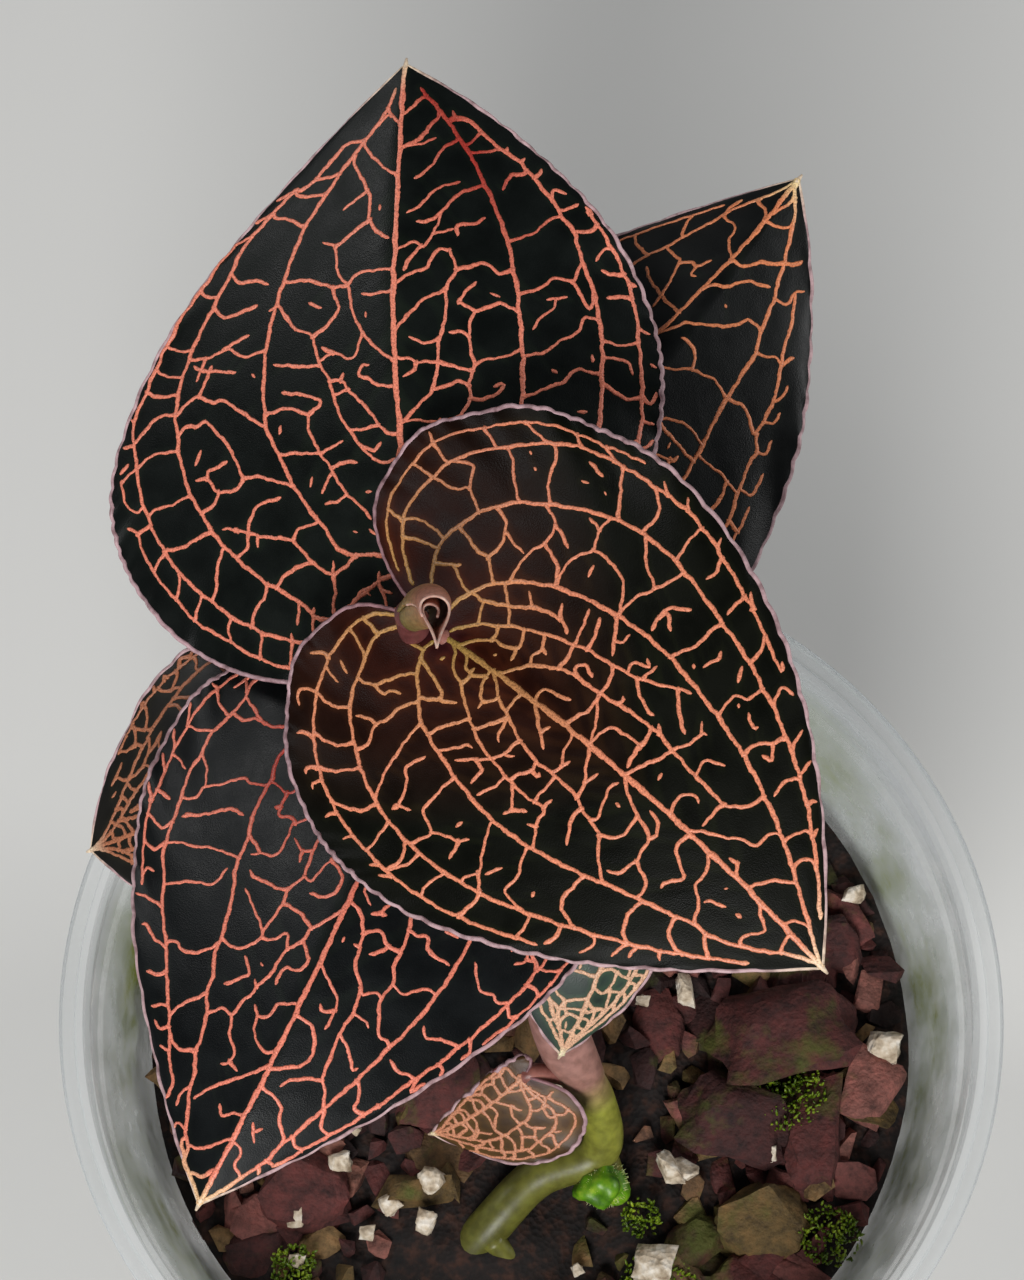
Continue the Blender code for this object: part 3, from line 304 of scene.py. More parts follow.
@dataclass
class Leaf:
    """A blade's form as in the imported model, in millimetres and leaf lengths, and then its own looks."""

    name: str
    base: tuple
    tip: tuple
    facing: tuple
    left: tuple
    right: tuple
    petiole_from: float
    droop: float
    fold_left: float
    fold_right: float
    vein_hues: tuple  # near the petiole, over the blade, at the tip
    blade_hues: tuple  # near the petiole, over the blade
    gloss: float
    cup: float = 0.10
    bend: float = 0.0
    wave: float = 0.010
    waves: int = 6
    lobe_lift: float = 0.0
    arrival: float = 0.35
    fill: str = ""  # stretches left to chance: two long veins by number, the first and the last s
    fringe: str = ""  # stubs towards the margin: a long vein by number, the first and the last s
    spacing: float = 3.1
    shade_stretches: tuple = ()  # (s, t, reach) of a stretch whose veins are painted dark crimson as shade
    rows: int = 170
    columns: int = 30
    seed: int = 1


LEAVES = [
    Leaf(
        "leaf_1_front",
        base=(-9.6, 27.2, 149.0),
        tip=(30.0, -9.0, 148.0),
        facing=(0.09, -0.24, 1),
        left=((-0.83, 0.02), (-0.04, 1.18)),
        right=((-0.68, 0.02), (0.07, 1.10)),
        petiole_from=142.0,
        droop=0.61,
        fold_left=-0.21,
        fold_right=0.27,
        cup=0.11,
        bend=0.02,
        vein_hues=("A0823F", "E08866", "F0CFA8"),
        blade_hues=("2E1008", "0B0C07"),
        gloss=0.10,
        seed=11,
    ),
    Leaf(
        "leaf_2_back_left",
        base=(-12.4, 35.2, 141.0),
        tip=(-14.6, 96.1, 150.8),
        facing=(-0.04, -0.20, 1),
        left=((-0.37, 0.02), (-0.08, 1.38)),
        right=((-0.27, 0.14), (0.46, 1.02)),
        petiole_from=138.0,
        droop=0.31,
        fold_left=0.38,
        fold_right=0.15,
        cup=0.05,
        bend=0.034,
        fill="1 2  6 18; 2 3  8 24; 0 7  6 28; 7 8  6 44; 8 9  8 48",
        vein_hues=("CC7458", "E28268", "E9C49C"),
        blade_hues=("0A0F0B", "080C0A"),
        gloss=0.2,
        # Painted shade: the veins in the fold near the tip, which lies in shade, are painted dark crimson.
        shade_stretches=((0.86, -0.38, 0.16), (0.95, -0.3, 0.1)),
        seed=23,
    ),
    Leaf(
        "leaf_3_back_right",
        base=(-6.5, 37.0, 137.0),
        tip=(31.1, 86.7, 140.6),
        facing=(0.13, -0.22, 1),
        left=((-0.47, 0.33), (0.33, 0.95)),
        right=((-0.54, 0.22), (0.32, 0.75)),
        petiole_from=130.0,
        droop=0.30,
        fold_left=0.74,
        fold_right=0.11,
        cup=0.08,
        lobe_lift=0.1,
        fill="0 1 8 66; 1 2 10 80; 0 3 8 50; 3 4 8 56; 4 5 12 60",
        spacing=3.0,
        vein_hues=("B9603F", "DC8458", "EFD29A"),
        blade_hues=("0A0C0A", "080A09"),
        gloss=0.28,
        seed=31,
    ),
    Leaf(
        "leaf_4_front_left",
        base=(-12.2, 22.2, 132.8),
        tip=(-36.8, -29.8, 122.9),
        facing=(-0.12, -0.22, 1),
        left=((-0.45, 0.41), (0.06, 0.83)),
        right=((-0.34, 0.42), (0.30, 0.92)),
        petiole_from=126.0,
        droop=0.52,
        fold_left=0.31,
        fold_right=0.30,
        cup=0.11,
        bend=0.023,
        lobe_lift=-0.5,
        fill="0 1 8 34; 1 2 8 55; 2 3 42 60; 0 4 8 28; 4 5 8 26; 5 6 22 36",
        spacing=3.7,
        # Painted shade: the first vein hue, a dark brick near the petiole, stands for the shade that leaf 1
        # casts there.
        vein_hues=("BC5444", "E6826A", "E6BC8E"),
        blade_hues=("090B0B", "090C0D"),
        gloss=0.22,
        # Painted shade: the veins near the petiole, where leaf 1 shades this leaf, are painted dark crimson.
        shade_stretches=((0.3, -0.4, 0.16), (0.2, -0.1, 0.12)),
        seed=47,
    ),
    Leaf(
        "leaf_5_far_left",
        base=(-10.1, 20.5, 121.0),
        tip=(-52.7, 14.5, 107.6),
        facing=(-0.29, -0.05, 1),
        left=((-0.50, 0.30), (0.30, 0.85)),
        right=((-0.52, 0.29), (0.57, 0.94)),
        petiole_from=114.0,
        droop=0.85,
        fold_left=0.15,
        fold_right=-0.10,
        fill="0 1  8 93; 1 2  8 93; 0 3  8 93; 3 4  8 93; 4 5  12 88",
        fringe="2 8 90; 5 12 88",
        spacing=2.6,
        vein_hues=("8A5236", "A8694A", "CDB296"),
        blade_hues=("14100B", "100E0A"),
        gloss=0.35,
        rows=130,
        columns=24,
        seed=59,
    ),
    Leaf(
        "leaf_6_low_right",
        base=(11.5, 9.3, 111.5),
        tip=(3.5, -8.2, 97.8),
        facing=(0.14, -0.71, 1),
        left=((-0.42, 0.22), (0.34, 0.51)),
        right=((-0.39, 0.31), (0.48, 0.82)),
        petiole_from=98.0,
        droop=0.61,
        fold_left=0.19,
        fold_right=0.06,
        wave=0.014,
        waves=4,
        arrival=-0.1,
        fill="0 1  8 90; 1 2  12 90; 0 3  8 90; 3 4  12 90",
        spacing=2.4,
        vein_hues=("C89A78", "D8AA8A", "EADFB8"),
        blade_hues=("2C3A32", "26332C"),
        gloss=0.4,
        rows=90,
        columns=20,
        seed=61,
    ),
    Leaf(
        "leaf_7_lowest",
        base=(-0.9, -9.6, 91.0),
        tip=(-12.3, -14.7, 80.0),
        facing=(-0.04, -0.51, 1),
        left=((-0.54, 0.65), (0.33, 1.06)),
        right=((-0.42, 0.14), (0.36, 0.29)),
        petiole_from=83.0,
        droop=0.52,
        fold_left=0.06,
        fold_right=0.09,
        bend=0.03,
        wave=0.014,
        waves=4,
        fill="0 1  8 90; 1 2  8 90; 2 3  8 88; 0 4  8 90",
        spacing=1.9,
        vein_hues=("C98C6C", "C98868", "DCCDA2"),
        blade_hues=("4A3018", "3E2A14"),
        gloss=0.4,
        rows=80,
        columns=20,
        seed=71,
    ),
]

# Veins and margins. The widths are in millimetres.
VEIN_STEP = 0.30 * MM
RUNG_WIDTH = 0.45
TWIG_WIDTH = 0.43
BLADE_HALF = 0.20 * MM
MEETING = 0.62 * MM  # an end this close to a vein runs into it
BEND_PULL = 0.10 * MM
EDGE_RADIUS = 0.30 * MM
SCALLOP_LENGTH = 2.6 * MM
SCALLOP_DEPTH = 0.32 * MM
SCALLOP_LIFT = 0.20 * MM
SCALLOP_DRIFT = 0.012  # how unevenly the scallops are set, as a share of the blade
SCALLOP_FADES = (5, 14)  # how fast they set in after the petiole and end before the tip
SCALLOP_LEAST = 0.35  # their size at the petiole, as a share of that at the tip
EDGE_POWER = 18  # how narrow the scalloped band is
RIPPLE_STARTS = (0.8, 2.6)  # where the wave of the left and of the right margin starts, in radians
# A vein's wavering: wave lengths in millimetres, and weights.
WAVERS = ((0.62, 1.0), (0.29, 0.8), (0.17, 0.5))
SWELL_LENGTH = 0.9 * MM
MEETING_REACH = 0.42 * MM  # how far a vein widens from where it joins another
END_REACH = 0.5 * MM  # how far a free end narrows
VEIN_DEPTH = 0.12 * MM  # how far a vein reaches down into the blade
# A vein's section: shares of its half width, and of its height and depth.
VEIN_SECTION = ((-1, 0.0), (-0.55, 1.0), (0.55, 1.0), (1, 0.0), (0.6, -1.0), (-0.6, -1.0))
# Odds of a bridge and of a fork between two long veins. All others end blind.
BRIDGE_ODDS, FORK_ODDS = 0.45, 0.68
FRINGE_STEP = 2.3  # millimetres between stubs at the margin

# Nodes: the two colours that a Mix node takes, how it mixes them, and the output that is used of a node
# whose first one isn't.
MIX_A, MIX_B = 6, 7
BLEND = {"data_type": "RGBA"}
MULTIPLY = {"data_type": "RGBA", "blend_type": "MULTIPLY"}
OUTPUTS = {
    "ShaderNodeAttribute": "Fac",
    "ShaderNodeLayerWeight": "Facing",
    "ShaderNodeMix": 2,
    "ShaderNodeSeparateXYZ": "Z",
    "ShaderNodeTexCoord": "Object",
}

# Where algae sit on the pot, by height in metres, and the colours along the stem and from chip to chip.
ALGAE_HEIGHTS = ((0.020, 0), (0.062, 0.9), (0.074, 1), (0.089, 0))
STEM_HUES_AND_SHADE = (
    (0.0, "4A4A1C"),
    (0.22, "6B6A2C"),
    (0.33, "8A8C34"),
    (0.38, "9A7064"),
    (0.6, "A87A78"),
    # Painted shade: the stem's top, under the leaves, is darkened to a dark maroon.
    (0.9, "6A3A38"),
)
BARK_HUES = (
    (0.0, "1E0C0A"),
    (0.3, "431D1A"),
    (0.55, "582B27"),
    (0.75, "84524A"),
    (0.9, "54431E"),
    (1.0, "8A6C46"),
)


def linear(code):
    """An sRGB hex colour as the linear values that a shader takes."""
    channels = [int(code[i : i + 2], 16) / 255 for i in (0, 2, 4)]
    return (*[c / 12.92 if c <= 0.04045 else ((c + 0.055) / 1.055) ** 2.4 for c in channels], 1.0)


def as_colour(value):
    """The four values of a hex colour, of a grey level or of a factor for each channel."""
    if isinstance(value, str):
        return linear(value)
    return (*value, 1) if isinstance(value, tuple) else (value, value, value, 1)


def add_node(tree, kind, inputs=None, stops=(), **settings):
    """Adds a node and gives its output. An input is a value or another node's output, and stops are the
    places and colours of a ramp."""
    made = tree.nodes.new(kind)
    for name, value in settings.items():
        setattr(made, name, value)
    for socket, value in (inputs or {}).items():
        if isinstance(value, bpy.types.NodeSocket):
            tree.links.new(value, made.inputs[socket])
        else:
            made.inputs[socket].default_value = value
    for number, (place, colour) in enumerate(stops):
        elements = made.color_ramp.elements
        stop = elements[number] if number < 2 else elements.new(place)
        stop.position = place
        stop.color = as_colour(colour)
    return made.outputs[OUTPUTS.get(kind, 0)]


def start_material(name, **values):
    """A material, its tree, its main shader and its Object coordinates. The shader's plain values are given
    by the socket's name."""
    material = bpy.data.materials.new(name)
    material.use_nodes = True
    tree = material.node_tree
    shader = tree.nodes["Principled BSDF"]
    for socket, value in values.items():
        shader.inputs[socket.replace("_", " ")].default_value = value
    return material, tree, shader, add_node(tree, "ShaderNodeTexCoord")


def wire(tree, shader, **outputs):
    """Links outputs to the main shader, by the name of its socket."""
    for socket, output in outputs.items():
        tree.links.new(output, shader.inputs[socket.replace("_", " ")])


def mottled(tree, hue, pattern, stops):
    """The colour made darker and lighter by a pattern."""
    shade = add_node(tree, "ShaderNodeValToRGB", {"Fac": pattern}, stops)
    return add_node(tree, "ShaderNodeMix", {0: 1.0, MIX_A: hue, MIX_B: shade}, **MULTIPLY)


class Shape:
    """Points, faces, material slots and values per point, gathered for one mesh."""

    def __init__(self, *values):
        self.points = []
        self.faces = []
        self.slots = []
        self.values = {name: [] for name in values}
        self.count = 0

    def add(self, points, faces, slot=0, **values):
        points = np.asarray(points, float)
        self.points.append(points)
        self.faces += [tuple(int(i) + self.count for i in face) for face in faces]
        self.slots += [slot] * len(faces)
        for name, rows in self.values.items():
            rows.append(np.broadcast_to(np.asarray(values.get(name, 0.0), float), len(points)))
        self.count += len(points)

    def build(self, name, materials):
        mesh = bpy.data.meshes.new(name)
        mesh.from_pydata(np.concatenate(self.points).tolist(), [], self.faces)
        for material in materials:
            mesh.materials.append(material)
        mesh.polygons.foreach_set("material_index", self.slots)
        for label, rows in self.values.items():
            attribute = mesh.attributes.new(label, "FLOAT", "POINT")
            attribute.data.foreach_set("value", np.concatenate(rows).astype(np.float32))
        mesh.update()
        mesh.shade_smooth()
        obj = bpy.data.objects.new(name, mesh)
        bpy.context.scene.collection.objects.link(obj)
        return obj


def settle(obj, slot, *nodes):
    """Rides the piece on the plant's one body and says which nodes it stands for."""
    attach(obj, "root")
    if nodes:
        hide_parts(*nodes)


def smooth_path(points, steps):
    """A curve through all the points, with this many steps between each two (Catmull-Rom)."""
    ends = [2 * points[0] - points[1], *points, 2 * points[-1] - points[-2]]
    path = []
    for a, b, c, d in zip(ends, ends[1:], ends[2:], ends[3:]):
        for i in range(steps):
            u = i / steps
            bow = (2 * a - 5 * b + 4 * c - d) * u**2 + (3 * b - a - 3 * c + d) * u**3
            path.append(0.5 * (2 * b + (c - a) * u + bow))
    return path + [points[-1] * 1.0]


def share_along(path):
    steps = [0.0] + [(b - a).length for a, b in zip(path, path[1:])]
    reached = np.cumsum(steps)
    return (reached / reached[-1]).tolist()


def tube(path, radii, sides):
    """Rings square to the path, joined, with a rounded point at each end."""
    points = [path[0] + (path[0] - path[1]).normalized() * radii[0] * 0.5]
    side = None
    for i, centre in enumerate(path):
        tangent = (path[min(i + 1, len(path) - 1)] - path[max(i - 1, 0)]).normalized()
        if side is None:
            side = tangent.orthogonal().normalized()
        side = (side - tangent * side.dot(tangent)).normalized()
        up = tangent.cross(side)
        for k in range(sides):
            turn = 2 * math.pi * k / sides
            points.append(centre + radii[i] * (math.cos(turn) * side + math.sin(turn) * up))
    points.append(path[-1] + (path[-1] - path[-2]).normalized() * radii[-1] * 0.5)
    return points, closed_faces(len(path), sides)


def ring_faces(first, rings, sides):
    """Quads between rings of points that follow each other from the point numbered first."""
    faces = []
    for i in range(rings - 1):
        for k in range(sides):
            a, b = first + i * sides + k, first + i * sides + (k + 1) % sides
            faces.append((a, b, b + sides, a + sides))
    return faces


def closed_faces(rings, sides):
    """The faces of rings between a first and a last point, facing outward when the rings turn to the left."""
    last = 1 + rings * sides
    faces = ring_faces(1, rings, sides)
    for k in range(sides):
        following = (k + 1) % sides
        faces.append((0, 1 + following, 1 + k))
        faces.append((last, last - sides + k, last - sides + following))
    return faces


def axes_of(forward, up):
    """A turn whose columns are forward, the left side and up, made square to each other."""
    x = forward.normalized()
    z = (up - x * up.dot(x)).normalized()
    return Matrix((x, z.cross(x), z)).transposed()


def unit(rows):
    return rows / np.maximum(np.linalg.norm(rows, axis=-1, keepdims=True), 1e-12)


def read_rows(text):
    """The rows of a block of whole numbers, as hundredths."""
    rows = [[int(mark) / 100 for mark in row.split()] for row in text.split(";")]
    return [row for row in rows if row]


def read_knots(marks):
    return list(zip(marks[::2], marks[1::2]))


class Blade:
    """One leaf's surface, for whole arrays of s and t."""

    def __init__(self, leaf):
        self.leaf = leaf
        base, tip = Vector(leaf.base) * MM, Vector(leaf.tip) * MM
        self.scallops = 0
        own = self.local(np.array([0.0, 1.0]), np.array([0.0, 0.0]))
        chord = Vector(own[1] - own[0])
        turn = axes_of(tip - base, Vector(leaf.facing)) @ axes_of(chord, UP).transposed()
        self.length = (tip - base).length / chord.length
        self.own_base = own[0]
        self.turn = np.array(turn)
        self.base = np.array(base)
        margin = self.place(np.linspace(0, 1, 60), 1.0)
        run = np.linalg.norm(np.diff(margin, axis=0), axis=1).sum()
        self.scallops = round(run / SCALLOP_LENGTH)

    def local(self, s, t):
        leaf = self.leaf
        s, t = np.broadcast_arrays(np.asarray(s, float), np.asarray(t, float))
        share, on_left = np.abs(t), t >= 0
        near_x, near_y, far_x, far_y = (
            np.where(on_left, a, b) for a, b in zip(np.ravel(leaf.left), np.ravel(leaf.right))
        )
        rise, fall = 3 * (1 - s) ** 2 * s, 3 * (1 - s) * s**2
        first = MIDRIB_HANDLES[0] * (1 - share) + near_x * share
        second = MIDRIB_HANDLES[1] * (1 - share) + far_x * share
        x = rise * first + fall * second + s**3
        out = rise * (near_y * share + VEIN_SPREAD * np.sin(np.pi * share)) + fall * far_y * share
        lift = 0.0
        if self.scallops:
            edge = share**EDGE_POWER * np.clip(SCALLOP_FADES[1] * (1 - s), 0, 1)
            edge = edge * np.clip(SCALLOP_FADES[0] * s, 0, 1) * (SCALLOP_LEAST + (1 - SCALLOP_LEAST) * s)
            drift = self.scallops * (s + SCALLOP_DRIFT * np.sin(23 * s + leaf.seed))
            out = out + edge * SCALLOP_DEPTH / self.length * (np.abs(np.sin(np.pi * drift)) - 0.5)
            lift = edge * SCALLOP_LIFT / self.length * np.sin(np.pi * drift + 0.6 * leaf.seed)
        ripple = np.sin(2 * np.pi * leaf.waves * s + np.where(on_left, *RIPPLE_STARTS))
        ripple = ripple * np.sqrt(np.clip(np.sin(np.pi * s), 0, 1))
        fold = np.where(on_left, leaf.fold_left, leaf.fold_right)
        height = leaf.wave * share**4 * ripple - leaf.cup * out**2 + leaf.lobe_lift * np.minimum(x, 0) ** 2
        height = height + lift - out * np.sin(fold)
        ahead = np.maximum(x, 0)
        across = np.where(on_left, 1, -1) * out * np.cos(fold) + 4 * leaf.bend * ahead * np.maximum(1 - x, 0)
        turn = leaf.droop * ahead
        along = np.sin(turn) / leaf.droop + np.minimum(x, 0)
        sunk = (1 - np.cos(turn)) / leaf.droop
        return np.stack([along + height * np.sin(turn), across, height * np.cos(turn) - sunk], -1)

    def place(self, s, t):
        return self.base + self.length * (self.local(s, t) - self.own_base) @ self.turn.T

    def normal(self, s, t):
        step = 2e-3
        s, t = np.clip(s, 0.004, 0.996), np.clip(t, -0.995, 0.995)
        along = self.place(s + step, t) - self.place(s - step, t)
        outer = np.where(np.abs(t) < 0.05, 0.05, step)
        across = self.place(s, t + outer) - self.place(s, t - outer)
        return unit(np.cross(along, across))

    def pace(self, s, t):
        """Metres for each unit of s here."""
        ends = self.place(np.array([s - 0.01, s + 0.01]), t)
        return float(np.linalg.norm(ends[1] - ends[0])) / 0.02


class Net:
    """The veins of one blade. Each line holds s, t, the middle points, the normals, the sides and the half
    widths."""

    def __init__(self, blade, settings):
        self.blade = blade
        self.rng = random.Random(blade.leaf.seed)
        self.settings = settings
        self.lines = []
        self.joints = []

    def meet(self, s, t):
        """The line and the place on it that an end here runs into, if one is near."""
        if not self.lines:
            return None
        here = self.blade.place(np.array([s]), t)[0]
        gaps = [np.linalg.norm(line[2] - here, axis=1) for line in self.lines]
        nearest = [float(gap.min()) for gap in gaps]
        number = int(np.argmin(nearest))
        return (number, int(gaps[number].argmin())) if nearest[number] < MEETING else None

    def draw(self, knots, width, waver=0.10, taper=0.0):
        """A vein through these knots. Its width is in millimetres, and waver is how far it strays. An end
        that comes close to a vein that is already there runs into it."""
        knots = [(min(max(s, 0.003), 0.999), t) for s, t in knots]
        joints = [self.meet(*knots[0]), self.meet(*knots[-1])]
        for end, joint in zip((0, -1), joints):
            if joint:
                line = self.lines[joint[0]]
                knots[end] = (line[0][joint[1]], line[1][joint[1]])
        fine = np.array([tuple(p) for p in smooth_path([Vector((*k, 0)) for k in knots], 8)])[:, :2]
        middle = self.blade.place(fine[:, 0], fine[:, 1])
        run = np.concatenate([[0], np.cumsum(np.linalg.norm(np.diff(middle, axis=0), axis=1))])
        count = max(4, int(run[-1] / VEIN_STEP) + 1)
        even = np.linspace(0, run[-1], count)
        s, t = np.interp(even, run, fine[:, 0]), np.interp(even, run, fine[:, 1])
        points = self.blade.place(s, t)
        up = self.blade.normal(s, t)
        ahead = unit(np.gradient(points, axis=0))
        side = unit(np.cross(up, ahead))
        phase = [self.rng.uniform(0, 2 * math.pi) for _ in range(4)]
        stray = sum(w * np.sin(even / (wave * MM) + start) for (wave, w), start in zip(WAVERS, phase))
        free = np.minimum(1, np.minimum(even, run[-1] - even) / (0.7 * MM))
        points = points + side * (waver * MM * 0.5 * stray * free)[:, None]
        swell = 1 + 0.12 * np.sin(even / SWELL_LENGTH + phase[3])
        half = np.full(count, width * MM / 2) * (1 - taper * even / max(run[-1], MM)) * swell
        for joint, reach in zip(joints, (even, run[-1] - even)):
            if joint:
                half = half * (1 + 0.45 * np.exp(-((reach / MEETING_REACH) ** 2)))
            else:
                half = half * np.clip(0.5 + reach / END_REACH, 0, 1)
        for joint, near in zip(joints, (1, -2)):
            if joint:
                self.joints.append((*joint, points[near] + 0.0))
        self.lines.append((s, t, points, up, side, half))

    def pull(self):
        """Draws each vein a little towards the ones that leave it, so that it bends at its joints."""
        for number, place, target in self.joints:
            points = self.lines[number][2]
            away = target - points[place]
            reach = np.linalg.norm(away)
            if reach > 0:
                gaps = np.linalg.norm(points - points[place], axis=1)
                points += away / reach * (BEND_PULL * np.exp(-((gaps / (0.75 * MM)) ** 2)))[:, None]

    def grow(self):
        leaf = self.blade.leaf
        long_veins = [(marks[0], read_knots(marks[1:])) for marks in read_rows(LONG_VEINS[leaf.name])]
        for width, knots in long_veins:
            self.draw(knots, width, waver=0.03 if width > 0.6 else 0.08, taper=0.1)
        for marks in read_rows(TWIGS.get(leaf.name, "")):
            self.draw(read_knots(marks), TWIG_WIDTH * self.rng.uniform(0.75, 1.12))
        for first, second, start, stop in read_rows(leaf.fill):
            inner, outer = (np.array(long_veins[round(100 * n)][1]) for n in (first, second))
            self.fill_between(inner, outer, start, stop)
        for number, start, stop in read_rows(leaf.fringe):
            self.fringe(np.array(long_veins[round(100 * number)][1]), start, stop)
        self.pull()

    def facing_s(self, s, inner, outer):
        """The s at which the outer vein comes closest to this place on the inner one."""
        far = np.linspace(max(0.02, s - 0.3), min(0.98, s + 0.3), 61)
        here = self.blade.place(np.array([s]), np.interp(s, *inner.T))[0]
        gaps = np.linalg.norm(self.blade.place(far, np.interp(far, *outer.T)) - here, axis=1)
        return float(far[gaps.argmin()]), float(gaps.min()) / MM

    def fill_between(self, inner, outer, start, stop):
        """Cross veins between two long ones: bridges, forks, and twigs that end blind."""
        leaf, s = self.blade.leaf, start
        while s < stop:
            far, across = self.facing_s(s, inner, outer)
            if across > 0.8:
                self.cross(s, far, inner, outer, across)
            wide = min(1.4, max(0.8, across / 5))
            s += leaf.spacing * wide * self.rng.uniform(0.65, 1.35) * MM / self.blade.pace(s, 0.3)

    def cross(self, s, far, inner, outer, across):
        rng = self.rng
        pace = self.blade.pace(s, np.interp(s, *inner.T)) / MM
        lean = rng.uniform(-0.12, 0.25) * across

        def spot(share, ahead):
            own = s + (far - s) * share + (ahead + lean * share) / pace
            return own, (1 - share) * np.interp(own, *inner.T) + share * np.interp(own, *outer.T)

        jog = [rng.uniform(-0.2, 0.2) * min(across, 4) for _ in range(4)]
        kind = rng.random()
        if kind < BRIDGE_ODDS or across < 2.2:
            self.draw([spot(0, 0), spot(0.3, jog[0]), spot(0.65, jog[1]), spot(1, 0)], RUNG_WIDTH)
            if across > 2.4 and rng.random() < 0.5:
                share, reach = rng.uniform(0.3, 0.7), rng.choice((-1, 1)) * rng.uniform(0.9, 1.8)
                self.draw([spot(share, jog[0]), spot(share + jog[2] * 0.05, reach)], TWIG_WIDTH)
        elif kind < FORK_ODDS:
            share, spread = rng.uniform(0.35, 0.6), rng.uniform(0.9, 1.6)
            hub = spot(share, jog[0])
            self.draw([spot(0, 0), spot(share * 0.5, jog[1] * 0.5), hub], RUNG_WIDTH)
            self.draw([hub, spot((1 + share) / 2, spread * 0.7), spot(1, spread)], RUNG_WIDTH)
            end = rng.choice((1, 0.8))
            self.draw([hub, spot((1 + share) / 2, -spread * 0.7), spot(end, -spread)], TWIG_WIDTH)
        else:
            share = rng.uniform(0.45, 0.8)
            end = spot(share, jog[0])
            self.draw([spot(0, 0), spot(share * 0.5, jog[1]), end], RUNG_WIDTH, taper=0.2)
            if rng.random() < 0.7:
                for way in (-1, 1):
                    reach = way * rng.uniform(0.7, 1.5)
                    self.draw([end, spot(share + 0.04, reach * 0.6), spot(share + 0.06, reach)], TWIG_WIDTH)
        if across > 3.2 and rng.random() < 0.3:
            share, ahead = rng.uniform(0.3, 0.7), rng.uniform(1.2, 2.0)
            self.draw([spot(share, ahead), spot(share + rng.uniform(-0.1, 0.1), ahead + 0.7)], 0.32)

    def fringe(self, vein, start, stop):
        """Stubs that leave the outermost vein and stop before the margin, some of them hooked."""
        s, rng = start, self.rng
        while s < stop:
            t = np.interp(s, *vein.T)
            edge = math.copysign(1, t)
            gap = float(np.linalg.norm(np.diff(self.blade.place(s, np.array([t, edge])), axis=0))) / MM
            if gap > 0.7:
                pace = self.blade.pace(s, t) / MM
                out = t + (edge - t) * rng.uniform(0.4, 0.65)
                hook = rng.choice((0, 0, 0.5, 0.9, -0.6)) / pace
                self.draw([(s, t), (s + 0.2 / pace, out), (s + hook, out + (edge - out) * 0.12)], TWIG_WIDTH)
            s += FRINGE_STEP * rng.uniform(0.6, 1.5) * MM / self.blade.pace(s, t)

    def ribbons(self, shape):
        """Each vein as a low closed ridge that sits in the blade's upper face."""
        high = self.settings.vein_height
        grain = np.random.default_rng(self.blade.leaf.seed)
        for s, t, points, up, side, half in self.lines:
            count = len(s)
            floor = points + up * (BLADE_HALF + 0.01 * MM)
            rows = []
            for across, rise in VEIN_SECTION:
                rough = 1 + 0.13 * grain.standard_normal(count).clip(-2, 2)
                lift = high * rise * (0.8 + 0.25 * grain.random(count)) if rise > 0 else VEIN_DEPTH * rise
                rows.append(floor + side * (across * half * rough)[:, None] + up * np.reshape(lift, (-1, 1)))
            rings = np.stack(rows, 1).reshape(-1, 3)
            start = floor[:1] - unit(points[1:2] - points[:1]) * half[0] * 0.8
            end = floor[-1:] + unit(points[-1:] - points[-2:-1]) * half[-1] * 0.8
            sides = len(VEIN_SECTION)
            faces = [f[::-1] for f in closed_faces(count, sides)]
            tipward = np.concatenate([s[:1], np.repeat(s, sides), s[-1:]])
            outward = np.concatenate([t[:1], np.repeat(t, sides), t[-1:]])
            # Painted shade: how far each vein point is painted dark crimson, highest in the leaf's shade
            # stretches.
            red = np.zeros(len(tipward))
            for shaded_s, shaded_t, reach in self.blade.leaf.shade_stretches:
                away = np.hypot(tipward - shaded_s, 0.6 * (outward - shaded_t)) / reach
                red = np.maximum(red, np.exp(-(away**2)))
            ends_and_rings = np.concatenate([start, rings, end])
            shape.add(ends_and_rings, faces, tipward=tipward, red=red)


def blade_grid(blade, net, settings):
    """Both faces of the blade and its rounded edge. The blade swells a little between the veins."""
    leaf = blade.leaf
    rows = leaf.rows
    even = np.linspace(-1, 1, 2 * leaf.columns + 1)
    across = np.sign(even) * (1 - (1 - np.abs(even)) ** 1.35)
    s = np.concatenate([[0.0], np.repeat(np.arange(1, rows) / rows, len(across)), [1.0]])
    t = np.concatenate([[0.0], np.tile(across, rows - 1), [0.0]])
    points, up = blade.place(s, t), blade.normal(s, t)
    tree = KDTree(sum(len(line[0]) for line in net.lines))
    number = 0
    for line in net.lines:
        for point in line[2]:
            tree.insert(point, number)
            number += 1
    tree.balance()
    gap = np.array([tree.find(p)[2] for p in points])
    swell = settings.swelling * (1 - np.exp(-((gap / (1.1 * MM)) ** 2))) * (1 - np.abs(t) ** 6)
    swell = swell + 0.02 * MM * np.array([noise.noise(Vector(p) / (1.6 * MM)) for p in points])
    thin = BLADE_HALF * (1 - 0.35 * np.abs(t) ** 8)
    middle = points + up * swell[:, None]
    upper, lower = middle + up * thin[:, None], middle - up * thin[:, None]
    width = len(across)
    last = len(points) - 1
    faces = [(0, 1 + k, 2 + k) for k in range(width - 1)]
    for row in range(rows - 2):
        for k in range(width - 1):
            a = 1 + row * width + k
            faces.append((a, a + width, a + width + 1, a + 1))
    final = last - width
    faces += [(final + k, last, final + k + 1) for k in range(width - 1)]
    below = [tuple(i + last + 1 for i in reversed(f)) for f in faces]
    left = [0, *[row * width + width for row in range(rows - 1)], last]
    right = [0, *[row * width + 1 for row in range(rows - 1)], last]
    rim = [(a, b, b + last + 1, a + last + 1) for a, b in zip(left, left[1:])]
    rim += [(a + last + 1, b + last + 1, b, a) for a, b in zip(right, right[1:])]
    values = {"tipward": np.tile(s, 2), "vein_gap": np.tile(gap / MM, 2)}
    return np.concatenate([upper, lower]), (faces, below, rim), values


